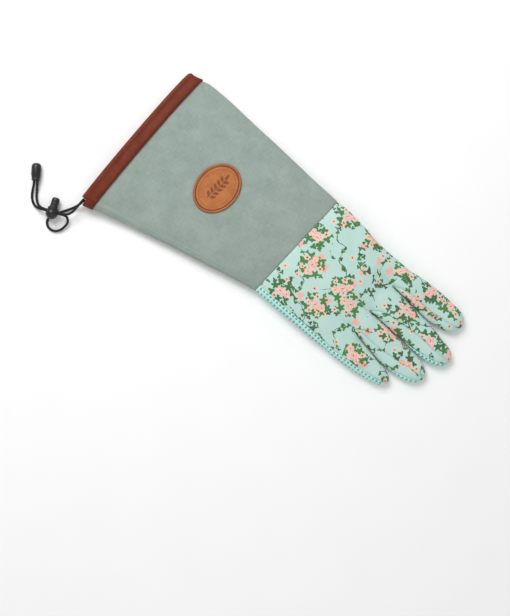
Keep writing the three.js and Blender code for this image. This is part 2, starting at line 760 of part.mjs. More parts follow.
// The oval way from the palm into the thumb, as a cutter.
function thumbHole() {
  const outline = new THREE.Shape();
  outline.absellipse(0, 0, THUMB_HOLE_LENGTH / 2, THUMB_HOLE_WIDTH / 2, 0, Math.PI * 2);
  const settings = { depth: THUMB_HEIGHT, bevelEnabled: false, curveSegments: OVAL_STEPS };
  const geometry = new THREE.ExtrudeGeometry(outline, settings);
  geometry.rotateZ(radians(THUMB_ANGLE));
  const heading = radians(THUMB_ANGLE);
  const x = THUMB_BASE_X + THUMB_HOLE_REACH * Math.cos(heading);
  const y = THUMB_BASE_Y + THUMB_HOLE_REACH * Math.sin(heading);
  geometry.translate(x, y, THUMB_HEIGHT - CLOTH * 2);
  return solid(geometry);
}

// The binding's section, as distance in from the mouth and height over the canvas's outer face.
function bindingSection() {
  const wall = BINDING_WALL;
  const over = SEAM_GAP;
  const under = -CLOTH - SEAM_GAP;
  const middle = -CLOTH / 2;
  const tunnel = CORD / 2 + SEAM_GAP + CHANNEL_SPARE;
  const bulge = tunnel * CHANNEL_BULGE;
  const neck = CHANNEL_DEPTH + CHANNEL_NECK;
  const wide = CHANNEL_DEPTH - CHANNEL_SHOULDER;
  const close = wall + tunnel * CHANNEL_FACE;
  return [
    [BINDING_WIDTH, over],
    [BINDING_WIDTH, over + wall],
    [neck, over + wall],
    [wide, middle + tunnel + wall],
    [close, middle + tunnel + wall],
    [NOSE_DEPTH, middle + bulge],
    [0, middle],
    [NOSE_DEPTH, middle - bulge],
    [close, middle - tunnel - wall],
    [wide, middle - tunnel - wall],
    [neck, under - wall],
    [BINDING_WIDTH, under - wall],
    [BINDING_WIDTH, under],
    [neck, under],
    [wide, middle - tunnel],
    [close, middle - tunnel],
    [wall, middle],
    [close, middle + tunnel],
    [wide, middle + tunnel],
    [neck, over],
  ];
}

// A closed sweep round the mouth: each section point rides at its depth and height over the canvas.
function mouthSweep(section) {
  const positions = [];
  const triangles = [];
  const count = section.length;
  const at = 1 - BINDING_WIDTH / 2 / CUFF_LENGTH;
  RING.forEach((angle) => {
    const ahead = cuffPoint(at, angle + TURN_PROBE).sub(cuffPoint(at, angle - TURN_PROBE));
    const inward = cuffPoint(at - RUN_PROBE, angle).sub(cuffPoint(at + RUN_PROBE, angle));
    const normal = ahead.cross(inward).normalize();
    for (const [depth, rise] of section) {
      const point = cuffPoint(1 - depth / CUFF_LENGTH, angle);
      positions.push(point.addScaledVector(normal, rise));
    }
  });
  for (let place = 0; place < RING.length; place += 1) {
    const next = (place + 1) % RING.length;
    for (let n = 0; n < count; n += 1) {
      const m = (n + 1) % count;
      const [a, b] = [place * count + n, place * count + m];
      const [c, d] = [next * count + m, next * count + n];
      triangles.push([a, b, c], [a, c, d]);
    }
  }
  return solid(meshGeometry(positions, triangles));
}

// The corner of the channel that is left open on the little-finger side, where the cord comes out.
function channelNotch(spare) {
  const corner = cuffPoint(1, 180);
  const length = NOTCH_DEPTH + NOTCH_OUTWARD;
  const geometry = new THREE.BoxGeometry(length, (NOTCH_WIDTH + spare) * 2, NOTCH_HEIGHT);
  geometry.translate(corner.x + NOTCH_DEPTH - length / 2, corner.y, 0);
  return solid(geometry);
}

// Corners of the cord's round section.
function cordCorners() {
  return Array.from({ length: CORD_SIDES }, (_, n) => {
    const turn = (2 * Math.PI * n) / CORD_SIDES;
    return [(CORD / 2) * Math.cos(turn), (CORD / 2) * Math.sin(turn)];
  });
}

function casingCord() {
  return mouthSweep(cordCorners().map(([x, y]) => [CHANNEL_AT + x, -CLOTH / 2 + y]));
}

// The height of the cuff's back at a point.
function cuffTop(x, y) {
  const along = -x / CUFF_LENGTH;
  let low = 0;
  let high = 180;
  while (high - low > ANGLE_TOLERANCE) {
    const middle = (low + high) / 2;
    if (cuffPoint(along, middle).y > y) low = middle;
    else high = middle;
  }
  return cuffPoint(along, low).z;
}

// An oval plate of two layers of rings that follows the cuff's back, with its top edge eased down.
function leatherPatch() {
  const positions = [];
  const triangles = [];
  const rim = PATCH_RINGS.length - 1;
  const point = (share, n, rise) => {
    const turn = (2 * Math.PI * n) / PATCH_STEPS;
    const x = -PATCH_TO_WRIST + (PATCH_LENGTH / 2) * share * Math.cos(turn);
    const y = PATCH_OFF_MIDDLE + (PATCH_WIDTH / 2) * share * Math.sin(turn);
    return new THREE.Vector3(x, y, cuffTop(x, y) + rise);
  };
  const place = (layer, ring, n) => {
    if (ring === 0) return layer;
    return 2 + (layer * rim + ring - 1) * PATCH_STEPS + (n % PATCH_STEPS);
  };
  const heights = [SEAM_GAP, SEAM_GAP + PATCH_THICKNESS];
  heights.forEach((rise) => positions.push(point(0, 0, rise)));
  heights.forEach((rise, layer) => {
    for (let ring = 1; ring <= rim; ring += 1) {
      const drop = layer === 1 && ring === rim ? PATCH_EDGE_DROP : 0;
      for (let n = 0; n < PATCH_STEPS; n += 1) {
        positions.push(point(PATCH_RINGS[ring], n, rise - drop));
      }
    }
  });
  for (let n = 0; n < PATCH_STEPS; n += 1) {
    for (let ring = 0; ring < rim; ring += 1) {
      const [a, b] = [place(1, ring, n), place(1, ring + 1, n)];
      const [c, d] = [place(1, ring + 1, n + 1), place(1, ring, n + 1)];
      const [e, f] = [place(0, ring, n), place(0, ring, n + 1)];
      const [g, h] = [place(0, ring + 1, n + 1), place(0, ring + 1, n)];
      triangles.push([a, b, c], [e, g, h]);
      if (ring > 0) triangles.push([a, c, d], [e, f, g]);
    }
    const [i, j] = [place(0, rim, n), place(0, rim, n + 1)];
    const [k, l] = [place(1, rim, n + 1), place(1, rim, n)];
    triangles.push([i, j, k], [i, k, l]);
  }
  return meshGeometry(positions, triangles);
}

// A free strand of the cord along its chosen points.
function strand(points) {
  const places = points.map((point) => new THREE.Vector3(...point));
  const curve = new THREE.CatmullRomCurve3(places, false, "centripetal");
  const outline = new THREE.Shape(cordCorners().map(([x, y]) => new THREE.Vector2(x, y)));
  const steps = Math.round(curve.getLength() / CORD_STEP);
  return new THREE.ExtrudeGeometry(outline, { steps, extrudePath: curve, bevelEnabled: false });
}

// A lathe about +Z from a list of [radius, height].
function turned(profile) {
  const points = profile.map(([radius, height]) => new THREE.Vector2(radius, height));
  return solid(new THREE.LatheGeometry(points, LATHE_SIDES).rotateX(Math.PI / 2));
}

// A frame whose +Z points out along a heading and a dip below level, and whose +X lies level.
function headed(heading, dip, at) {
  const level = Math.cos(dip);
  const out = new THREE.Vector3(Math.cos(heading) * level, Math.sin(heading) * level, -Math.sin(dip));
  const through = new THREE.Vector3(Math.sin(heading), -Math.cos(heading), 0);
  const up = out.clone().cross(through);
  return new THREE.Matrix4().makeBasis(through, up, out).setPosition(at.x, at.y, at.z);
}

// The cord's straight way through lock or plunger, as a cutter.
function cordWay(lowest, highest) {
  const geometry = new THREE.BoxGeometry(LOCK_BALL * 2, CORD_HOLE_WIDTH, highest - lowest);
  geometry.translate(0, 0, (lowest + highest) / 2);
  return solid(geometry);
}

// A ball with a collar, bored from the collar's rim down to its floor.
function lockBody() {
  const ball = LOCK_BALL / 2;
  const bore = LOCK_BORE / 2;
  const inside = -ball + LOCK_FLOOR;
  const profile = [[0, -ball]];
  for (let n = 1; n <= BALL_STEPS + 1; n += 1) {
    const turn = radians(-90 + (n * 90) / BALL_STEPS);
    profile.push([ball * Math.cos(turn), ball * Math.sin(turn)]);
  }
  profile.push([LOCK_COLLAR / 2, LOCK_RIM - LOCK_EDGE], [LOCK_COLLAR / 2 - LOCK_EDGE, LOCK_RIM]);
  profile.push([bore, LOCK_RIM], [bore, inside + LOCK_BORE_CHAMFER]);
  profile.push([bore - LOCK_BORE_CHAMFER, inside], [0, inside]);
  const half = CORD / 2 + SEAM_GAP;
  return turned(profile).subtract(cordWay(CORD_HOLE_AT - half, CORD_HOLE_AT + half));
}

function lockPlunger() {
  const half = CORD / 2 + SEAM_GAP;
  const lowest = CORD_HOLE_AT - half;
  const round = PLUNGER / 2;
  const foot = lowest - PLUNGER_FOOT;
  const profile = [
    [0, foot],
    [round - PLUNGER_FOOT, foot],
    [round, lowest],
    [round, PLUNGER_REACH - PLUNGER_CROWN],
    [round - PLUNGER_BEVEL, PLUNGER_REACH - PLUNGER_BEVEL],
    [round - PLUNGER_CROWN, PLUNGER_REACH],
    [0, PLUNGER_REACH],
  ];
  return turned(profile).subtract(cordWay(lowest, CORD_HOLE_AT + half + PLUNGER_TRAVEL));
}

function cordEnd() {
  const radius = END_DIAMETER / 2;
  let end = turned(END_SECTIONS.map((row) => [radius * row.radius, END_LENGTH * row.along]));
  const hole = CORD / 2 + SEAM_GAP;
  for (const side of [-END_SOCKET_SPREAD, END_SOCKET_SPREAD]) {
    const socket = new THREE.CylinderGeometry(hole, hole, END_SOCKET_DEPTH * 2, SOCKET_SIDES);
    end = end.subtract(solid(socket.rotateX(Math.PI / 2).translate(side, 0, 0)));
  }
  return end;
}

const group = new THREE.Group();
const glove = new THREE.Group();
const cords = new THREE.Group();
group.add(glove, cords);

function add(parent, name, geometry, look) {
  const mesh = new THREE.Mesh(geometry, new THREE.MeshStandardMaterial(look));
  mesh.name = name;
  parent.add(mesh);
}

const skin = gloveSkin();
const thumb = thumbSkin();
const hole = thumbHole();
const holed = (wall) => geometryOf(solid(wall).subtract(hole));
const binding = mouthSweep(bindingSection()).subtract(channelNotch(0));
const casing = casingCord().subtract(channelNotch(SEAM_GAP / 2));
const lockFrame = headed(radians(LOCK_HEADING), radians(LOCK_DIP), LOCK_AT);
const endFrame = headed(radians(END_HEADING), 0, END_AT);

add(glove, "cuff", skin.wall("cuff", CLOTH), CANVAS);
add(glove, "cuff_binding", geometryOf(binding), BROWN);
add(glove, "leather_patch", leatherPatch(), TAN);
add(glove, "hand_back", skin.wall("hand_back", CLOTH), FLORAL);
add(glove, "hand_palm", holed(skin.wall("hand_palm", CLOTH)), DOTTED);
for (const name of FOURCHETTES) add(glove, name, skin.wall(name, CLOTH, FOURCHETTE_GAP), FLORAL);
add(glove, "thumb_front", holed(thumb.wall("thumb_front", CLOTH)), DOTTED);
add(glove, "thumb_back", thumb.wall("thumb_back", CLOTH), FLORAL);
add(cords, "drawcord_in_casing", geometryOf(casing), CORD_BLACK);
add(cords, "drawcord_short", strand(SHORT_STRAND), CORD_BLACK);
add(cords, "drawcord_long", strand(LONG_STRAND), CORD_BLACK);
add(cords, "cord_lock_body", geometryOf(lockBody()).applyMatrix4(lockFrame), PLASTIC_BLACK);
add(cords, "cord_lock_plunger", geometryOf(lockPlunger()).applyMatrix4(lockFrame), PLASTIC_BLACK);
add(cords, "cord_end", geometryOf(cordEnd()).applyMatrix4(endFrame), PLASTIC_BLACK);

const box = new THREE.Box3().setFromObject(glove);
const middle = box.getCenter(new THREE.Vector3());
group.position.set(-middle.x, -middle.y, -box.min.z);
group.updateMatrixWorld(true);

export default group;
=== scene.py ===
"""Looks of a rose pruning gauntlet that lies flat on its palm.

A printed cotton back, a dotted grip palm, a canvas cuff bound in leather, an oval leather patch and a
braided drawcord with its lock and end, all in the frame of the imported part. Shapes are worked out in
millimetres from the wrist seam and put into the frame in metres.
"""

import math
from functools import partial

import bmesh
import bpy
import numpy as np
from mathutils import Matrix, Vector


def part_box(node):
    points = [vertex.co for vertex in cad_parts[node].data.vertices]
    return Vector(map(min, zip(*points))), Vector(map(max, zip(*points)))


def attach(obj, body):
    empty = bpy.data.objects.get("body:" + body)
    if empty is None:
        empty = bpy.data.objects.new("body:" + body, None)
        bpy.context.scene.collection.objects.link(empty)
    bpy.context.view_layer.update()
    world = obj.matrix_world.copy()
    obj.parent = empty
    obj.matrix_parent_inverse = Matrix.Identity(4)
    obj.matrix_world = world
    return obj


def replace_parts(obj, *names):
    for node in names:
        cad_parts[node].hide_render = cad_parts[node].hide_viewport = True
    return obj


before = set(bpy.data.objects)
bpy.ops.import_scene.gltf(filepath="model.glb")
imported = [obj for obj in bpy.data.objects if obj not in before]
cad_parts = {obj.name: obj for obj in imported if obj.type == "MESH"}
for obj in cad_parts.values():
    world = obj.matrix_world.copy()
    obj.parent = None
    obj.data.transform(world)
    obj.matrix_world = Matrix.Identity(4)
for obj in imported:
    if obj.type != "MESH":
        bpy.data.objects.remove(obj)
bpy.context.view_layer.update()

MM = 0.001
TURN = 2 * math.pi
WELD_DISTANCE = 1e-6
TINY = 1e-9

# Cloth and cuff
CLOTH = 1.2
WALL_SHARE = 0.8
WIDEST_AT = 0.46
UNDERSIDE_PRESS = 0.6
ROUNDNESS = 2.3
CUFF_LENGTH = 197
WRIST_WIDTH = 121
CUFF_FLARE = 56.4
MOUTH_INSET = 9
MOUTH_SLANT = 7
SLANT_POWER = 1.5
WRIST_HEIGHT = 19
MOUTH_HEIGHT = 17.5
MOUTH_LIFT = 2.35

# Binding and its channel
BINDING_WIDTH = 15.5
BINDING_WALL = 1.2
BINDING_GAP = 0.3
BINDING_STEP = 0.9
CHANNEL_DEPTH = 5.2
TUNNEL = 1.75
NOTCH_DEPTH = 5
NOTCH_WIDTH = 7
NOTCH_TUCK = 0.3

# Hand, fingers and thumb
PALM_WIDTH = 115
CROTCH_REACH = 98
HAND_HEIGHT = 21
CROTCH_HEIGHT = 16.5
FINGER_HEIGHT = 12
FINGER_HEIGHT_RUN = 48
FINGER_GAP = 0.7
VALLEY_RUN = 30
SHIFT_RUN = 0.06
TIP_TUCK = 1.2
THUMB_LENGTH = 112
THUMB_WIDTH = 33
THUMB_HEIGHT = 8
THUMB_ANGLE = -47
THUMB_BASE = (18, 52)
THUMB_DRAPE = 13
THUMB_MARGIN = 3
THUMB_CLEARANCE = 0.5
THUMB_TAPER = 0.12
THUMB_PRESS = 1.06

# Patch, cord and fittings
PATCH_LENGTH = 43
PATCH_WIDTH = 54
PATCH_THICKNESS = 1.6
PATCH_AT = (-97, -14)
PATCH_GAP = 0.3
PATCH_EDGE_DROP = 0.7
PATCH_PUCKER = 0.08
PATCH_PUCKERS = 23
PATCH_PUCKER_REACH = 3
PATCH_WAVES = ((0.12, 14, 31),)
PRESSED_AT = 2.6
PRESSED_WIDTH = 0.75
PRESSED_DEPTH = 0.5
INNER_LINE_AT = PRESSED_AT + 3.2
INNER_LINE_WIDTH = 0.35
DASHES_AT = 1.3
DASHES_WIDTH = 0.265
DASHES = 62
LEAF_LENGTH = 7.2
LEAF_HALF = 1.55
LEAF_STEP = 4.9
LEAF_START = -2
LEAF_SPREAD = 52
LEAF_VEIN = 0.22
TOP_LEAF_AT = 11.5
STEM_WIDTH = 0.45
STEM_REACH = 13.5
STEM_SWAY = 1.2
STEM_SWAY_TURN = 0.12
CORD = 2.5
LOCK_AT = (-201.9, -144.6, 9.1)
LOCK_HEADING = 117.5
LOCK_DIP = 15
LOCK_BALL = 12.4
LOCK_COLLAR = 10.8
LOCK_BORE = 8.6
LOCK_RIM = 5.6
LOCK_INSIDE = -4.7
LOCK_CHAMFER = 1.8
PLUNGER = 8
PLUNGER_REACH = 16.3
PLUNGER_TRAVEL = 3
PLUNGER_CROWN = 1.8
PLUNGER_FOOT = 0.85
GROOVE = 0.25
HOLE_AT = 1.8
HOLE_WIDTH = 5.9
HOLE_HALF = 1.55
END_AT = (-236.4, -131.9, 5.1)
END_HEADING = 129.9
END_LENGTH = 17.6
END_DIAMETER = 10
END_PROFILE = (
    (0, 0), (0, 0.76), (0.034, 0.86), (0.12, 0.88), (0.14, 0.8), (0.16, 0.88), (0.239, 0.9),
    (0.307, 0.98), (0.45, 1.0), (0.773, 1.0), (0.88, 0.93), (0.96, 0.74), (1.0, 0.4), (1.0, 0),
)
BRAID_PITCH = 2.2
BRAID_RIBS = 4
SOCKET_SPREAD = 1.75
SOCKET_HALF = 1.5
SOCKET_DEPTH = 8

SHORT_STRAND = [
    (-187.3, -112.0, 13.8), (-187.3, -117.5, 12.4), (-187.2, -124.0, 11.0), (-187.4, -130.0, 10.4),
    (-189.6, -135.0, 10.1), (-195.8, -139.0, 10.0), (-202.9, -142.7, 10.0), (-210.0, -146.4, 9.9),
    (-216.2, -147.9, 7.6), (-221.6, -146.2, 4.0), (-226.4, -142.2, 1.9), (-229.9, -137.4, 3.2),
    (-233.1, -133.1, 5.0), (-240.0, -124.9, 5.1),
]
LONG_STRAND = [
    (-187.3, -112.0, 7.4), (-187.5, -117.0, 7.0), (-188.9, -122.5, 4.8), (-191.8, -128.8, 2.2),
    (-195.6, -135.6, 1.4), (-199.3, -142.4, 1.4), (-201.8, -148.6, 1.4), (-200.8, -154.2, 1.4),
    (-196.0, -157.6, 1.5), (-189.9, -156.9, 1.7), (-185.6, -152.6, 2.3), (-184.0, -146.6, 3.4),
    (-184.6, -140.6, 5.0), (-188.6, -137.4, 6.7), (-195.4, -139.7, 7.26), (-202.5, -143.4, 7.26),
    (-209.6, -147.1, 7.2), (-215.8, -150.2, 4.8), (-221.8, -150.7, 1.9), (-227.6, -147.6, 1.4),
    (-232.2, -141.8, 2.8), (-235.8, -135.3, 4.9), (-242.7, -127.1, 5.1),
]

# Sections of the cuff and hand, as shares along them and of the sizes above
CUFF = {
    "along": (0.0, 0.25, 0.5, 0.75, 0.88, 0.94, 1.0),
    "flare": (0.0, 0.24, 0.48, 0.725, 0.855, 0.925, 1.0),
    "inset": (0.0, 0.0, 0.0, 0.0, 0.14, 0.6, 1.0),
    "slant": (0.0, 0.05, 0.25, 0.7, 1.0, 1.0, 1.0),
    "height": (0.0, 0.45, 0.9, 1.1, 1.0, 1.0, 1.0),
    "lift": (0.0, 0.0, 0.0, 0.05, 0.6, 1.0, 1.0),
}
HAND = {
    "along": (0.0, 0.14, 0.35, 0.54, 0.84, 1.0),
    "index_edge": (0.511, 0.525, 0.511, 0.494, 0.498, 0.5),
    "little_edge": (-0.541, -0.536, -0.528, -0.52, -0.508, -0.5),
    "height": (0.0, 0.7, 1.0, 1.0, 0.55, 0.0),
}
PARTINGS = (0.198, 0.494, 0.71)
LITTLE_SEAM_ANGLE = 152

# Fingers: centre and width as shares of the palm's width, and the angles of the panels' seams
FINGERS = (
    {
        "length": 78.5,
        "rounding": 0.8,
        "along": (0.0, 0.12, 0.28, 0.6, 0.8, 1.0),
        "centre": (0.401, 0.41, 0.418, 0.422, 0.435, 0.438),
        "width": (0.197, 0.215, 0.239, 0.26, 0.234, 0.23),
        "back_from": (0, 0, 0, 0, 0, 0),
        "back_to": (155, 132, 119, 112, 108, 106),
        "palm_from": (205, 222, 230, 222, 200, 175),
    },
    {
        "length": 94,
        "rounding": 0.79,
        "along": (0.0, 0.1, 0.3, 0.55, 0.8, 1.0),
        "centre": (0.154, 0.154, 0.152, 0.148, 0.14, 0.155),
        "width": (0.296, 0.292, 0.284, 0.276, 0.235, 0.21),
        "back_from": (25, 16, 12, 11, 11, 11),
        "back_to": (155, 122, 105, 93, 90, 90),
        "palm_from": (205, 216, 212, 165, 135, 130),
    },
    {
        "length": 86,
        "rounding": 0.79,
        "along": (0.0, 0.12, 0.3, 0.56, 0.79, 1.0),
        "centre": (-0.102, -0.108, -0.116, -0.125, -0.117, -0.108),
        "width": (0.216, 0.232, 0.25, 0.27, 0.24, 0.2),
        "back_from": (25, 16, 12, 11, 11, 11),
        "back_to": (155, 130, 118, 100, 91, 90),
        "palm_from": (205, 218, 222, 180, 143, 135),
    },
    {
        "length": 62.5,
        "rounding": 0.74,
        "along": (0.0, 0.15, 0.4, 0.75, 1.0),
        "centre": (-0.355, -0.357, -0.358, -0.349, -0.341),
        "width": (0.29, 0.268, 0.232, 0.176, 0.15),
        "back_from": (25, 16, 12, 11, 11),
        "back_to": (137, 131, 126, 120, 118),
        "palm_from": (137, 131, 126, 120, 118),
    },
)
FOURCHETTES = ("fourchette_index_middle", "fourchette_middle_ring", "fourchette_ring_little")
STRIPS_END = 0.935
BACK_STEPS = 5
PALM_STEPS = 5
EDGE_STEPS = 3
LITTLE = len(FINGERS) - 1

# How fine the surfaces are
CUFF_ROWS = 120
HAND_ROWS = 84
FINGER_ROWS = 72
THUMB_ROWS = 70
THUMB_COLUMNS = 40
BACK_COLUMNS = 28
PALM_COLUMNS = 26
EDGE_COLUMNS = 40
FOURCHETTE_COLUMNS = 10
PATCH_RINGS = 60
PATCH_SIDES = 144
CORD_STEPS = 10
CORD_SIDES = 16
FITTING_SIDES = 64

# Surface relief: seams, puckers, the cuff's felled edge, waves as (height, size, seed), and folds as
# start, end, width and depth, deepest at their start: ten on the hand, then six on the cuff
REST_HEIGHT = 0.4
SEAM_DEPTH = 0.75
SEAM_WIDTH = 1.3
SCALLOP = 0.22
SCALLOP_TURNS = (2.1, 1.7)
PUCKER_HEIGHT = 0.2
PUCKER_PITCH = 6.5
PUCKER_REACH = 7
PUCKER_START = 1.5
PUCKER_DRIFT = 1.5
PUCKER_DRIFT_RUN = 9
FELL_FROM = 1.2
FELL_TO = 6.4
FELL_HEIGHT = 0.45
FELL_SLOPE = 0.8
FELL_ABOVE = 8
UPPER_FROM = 5
UPPER_RUN = 6
RIPPLE_SIZES = (0.75, 1.6)
RIPPLE_GAIN = 2.2
FOLD_FADE = 0.6
CLOTH_WAVES = ((0.42, 42, 3), (0.14, 13, 8))
BINDING_WAVES = ((0.22, 16, 21), (0.1, 5, 22))
FOLDS = (
    ((97, 34.5), (70, 30), 2.4, 0.9),
    ((97, 0.7), (74, 3), 2.2, 0.9),
    ((97, -24.2), (76, -20), 2.2, 0.8),
    ((92, 18), (62, 10), 4.5, 0.6),
    ((90, -12), (58, -6), 4.0, 0.5),
    ((88, -38), (55, -30), 4.0, 0.5),
    ((20, 55), (60, 20), 6.0, 0.7),
    ((12, -40), (50, -18), 6.0, 0.6),
    ((3, 20), (30, 24), 3.0, 0.6),
    ((3, -18), (26, -20), 3.0, 0.6),
    ((-98, 57), (-97, 24), 2.2, 0.55),
    ((-171, 40), (-120, 20), 7.0, 0.5),
    ((-168, -60), (-110, -50), 8.0, 0.6),
    ((-4, 40), (-40, 46), 5.0, 0.5),
    ((-4, -46), (-46, -50), 5.0, 0.5),
    ((-4, 0), (-34, -6), 6.0, 0.4),
)

# Grip dots, with their rows' edges as shares of their pitch, the steps at which the mouth and the
# cuff's fell are measured, and stitches as (pitch, length, width)
DOT_PITCH = 4.2
DOT_WIDTH = 2.4
DOT_HEIGHT = 0.42
DOT_SAMPLES = 160
DOT_EDGES = (0.4, 0.3)
PALM_DOTS_FROM = 3.0
FINGER_DOTS_FROM = 2.0
LOOK_AHEAD = 0.004
MOUTH_SAMPLES = 4000
MOUTH_LINE_AT = 0.96
MOUTH_TURN = 0.5
MOUTH_STEP = 0.01
FELL_SAMPLES = 260
FELL_START = 0.012
FELL_STEP = 0.3
STITCH_LIFT = 0.05
BINDING_STITCH = (2.6, 2.2, 0.6)
BINDING_LINE_AT = BINDING_WIDTH - 2.2
CUFF_STITCH = (3.1, 2.2, 0.5)
STITCH_SIDES = 6
STITCH_RINGS = ((-0.5, 0.35), (-0.36, 0.85), (0, 1), (0.36, 0.85), (0.5, 0.35))

# A cloth map holds millimetres divided by its scale, so that it stays near the unit square
CLOTH_MAP = "cloth"
MAP_SCALE = 100
CUFF_MAP_MIDDLE = -9
FINGER_MAP_RUN = 20
STRIP_MAP_STEP = 40
STRIP_MAP_HALF = 19
THUMB_MAP_MIDDLE = 20
THUMB_MAP_SHIFT = (37, 61)

patch_low, patch_high = (np.array(corner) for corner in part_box("leather_patch"))
SHIFT = np.append((patch_low + patch_high)[:2] / 2 / MM - PATCH_AT, 0)


def placed(points):
    """Millimetres from the wrist seam as metres in the part's frame."""
    return (np.asarray(points, float) + SHIFT) * MM


# ---- Camera and light


VIEW_TURN = math.radians(43)
VIEW_CENTRE = (14.1, -47.7)
VIEW_WIDTH = 510
VIEW_ABOVE = 10
LENS = 100
SENSOR = 36

camera = bpy.data.objects.new("camera", bpy.data.cameras.new("camera"))
bpy.context.collection.objects.link(camera)
camera.data.lens = LENS
camera.data.sensor_width = SENSOR
camera.data.sensor_fit = "HORIZONTAL"
camera.location = np.array((*VIEW_CENTRE, VIEW_WIDTH * LENS / SENSOR + VIEW_ABOVE)) * MM
camera.rotation_euler = (0, 0, VIEW_TURN)
bpy.context.scene.camera = camera


def softbox(name, azimuth, elevation, distance, size, power):
    """A square light at a distance from the glove's middle, turned towards it."""
    light = bpy.data.lights.new(name, "AREA")
    light.energy = power
    light.size = size
    holder = bpy.data.objects.new(name, light)
    bpy.context.collection.objects.link(holder)
    level = math.cos(math.radians(elevation)) * distance
    turn = math.radians(azimuth)
    height = math.sin(math.radians(elevation)) * distance
    holder.location = (level * math.cos(turn), level * math.sin(turn), height)
    holder.rotation_euler = (math.radians(90 - elevation), 0, turn + math.pi / 2)


softbox("key", azimuth=160, elevation=50, distance=1.3, size=0.7, power=12)
softbox("fill", azimuth=-50, elevation=45, distance=1.4, size=1.1, power=3)
world = bpy.data.worlds.new("studio")
bpy.context.scene.world = world
world.use_nodes = True
world.node_tree.nodes["Background"].inputs["Color"].default_value = (1, 1, 1, 1)
world.node_tree.nodes["Background"].inputs["Strength"].default_value = 0.5
bpy.context.scene.view_settings.view_transform = "Standard"


# ---- Shader nodes


def operator(kind, reflected=False):
    """A method that adds one Math node, with its two values the other way round when reflected."""
    def act(self, *others):
        """Adds the node."""
        values = [*others, self] if reflected else [self, *others]
        return self.finish.node("ShaderNodeMath", values, operation=kind)

    return act


class Socket:
    """A shader value that takes part in arithmetic: each operator adds its own Math node."""

    __add__ = __radd__ = operator("ADD")
    __sub__, __rsub__ = operator("SUBTRACT"), operator("SUBTRACT", reflected=True)
    __mul__ = __rmul__ = operator("MULTIPLY")
    __truediv__, __rtruediv__ = operator("DIVIDE"), operator("DIVIDE", reflected=True)
    __pow__, __abs__ = operator("POWER"), operator("ABSOLUTE")
    __lt__, __gt__ = operator("LESS_THAN"), operator("GREATER_THAN")
    sin, cos, arctan2, most = map(operator, ("SINE", "COSINE", "ARCTAN2", "MAXIMUM"))

    def __init__(self, finish, socket):
        self.finish = finish
        self.socket = socket

    def also(self, output):
        """Another output of the same node."""
        return Socket(self.finish, self.socket.node.outputs[output])

    def held(self):
        """The value, kept between 0 and 1."""
        return self.finish.node("ShaderNodeMath", [self, 1], operation="MULTIPLY", use_clamp=True)


def tint(red, green, blue):
    """A colour given as on screen, from 0 to 255, in linear values by the sRGB curve."""
    share = np.array((red, green, blue)) / 255
    linear = np.where(share > 0.04045, ((share + 0.055) / 1.055) ** 2.4, share / 12.92)
    return (*linear.tolist(), 1)


# A Mix node's sockets for colours: the share, both colours, and the result
MIX_INPUTS = (0, 6, 7)
MIX_RESULT = 2


class Finish:
    """A material in the making: constants go on its shader's sockets, and node() adds the rest."""

    colour = None

    def __init__(self, name, **constants):
        self.material = bpy.data.materials.new(name)
        self.material.use_nodes = True
        self.tree = self.material.node_tree
        self.shader = self.tree.nodes["Principled BSDF"]
        for socket, value in constants.items():
            self.shader.inputs[socket.replace("_", " ")].default_value = value

    def feed(self, socket, value):
        """Links a value to a node's input, or sets it there where it is a constant."""
        if isinstance(value, Socket):
            self.tree.links.new(value.socket, socket)
        else:
            socket.default_value = value

    def node(self, kind, inputs=(), output=0, **settings):
        """One node: its settings are set first, then its inputs by name or place."""
        made = self.tree.nodes.new(kind)
        for name, value in settings.items():
            setattr(made, name, value)
        for key, value in inputs.items() if isinstance(inputs, dict) else enumerate(inputs):
            self.feed(made.inputs[key], value)
        return Socket(self, made.outputs[output])

    def set(self, socket, value):
        """Feeds one of the shader's own inputs."""
        self.feed(self.shader.inputs[socket], value)

    def paint(self, colour):
        """Sets the base colour, which stays at hand for a print over it."""
        self.colour = colour
        self.set("Base Color", colour)

    def object_place(self):
        """Object coordinates in millimetres."""
        return self.vector("SCALE", self.node("ShaderNodeTexCoord", output="Object"), Scale=1 / MM)

    def cloth_place(self):
        """The piece's own cloth map in millimetres: along the glove and across it."""
        return self.vector("SCALE", self.node("ShaderNodeUVMap", uv_map=CLOTH_MAP), Scale=MAP_SCALE)

    def vector(self, operation, *values, **inputs):
        """Vector arithmetic on one or two vectors."""
        given = {**dict(enumerate(values)), **inputs}
        return self.node("ShaderNodeVectorMath", given, operation=operation)

    def apart(self, place):
        """The two flat coordinates of a vector."""
        split = self.node("ShaderNodeSeparateXYZ", [place])
        return split, split.also("Y")

    def mix(self, share, first, second):
        """A colour between two, by a share from 0 to 1."""
        given = dict(zip(MIX_INPUTS, (share, first, second)))
        return self.node("ShaderNodeMix", given, MIX_RESULT, data_type="RGBA")

    def noise(self, place, size, detail=2.0, roughness=0.5):
        """Fractal noise from 0 to 1 whose features are about one size in millimetres."""
        given = {"Vector": place, "Scale": 1 / size, "Detail": detail, "Roughness": roughness}
        return self.node("ShaderNodeTexNoise", given)

    def bump(self, height, distance, strength=1.0):
        """Relief from a height of 0 to 1 that stands for a distance in millimetres."""
        given = {"Height": height, "Distance": distance * MM, "Strength": strength}
        self.set("Normal", self.node("ShaderNodeBump", given))


# ---- Meshes


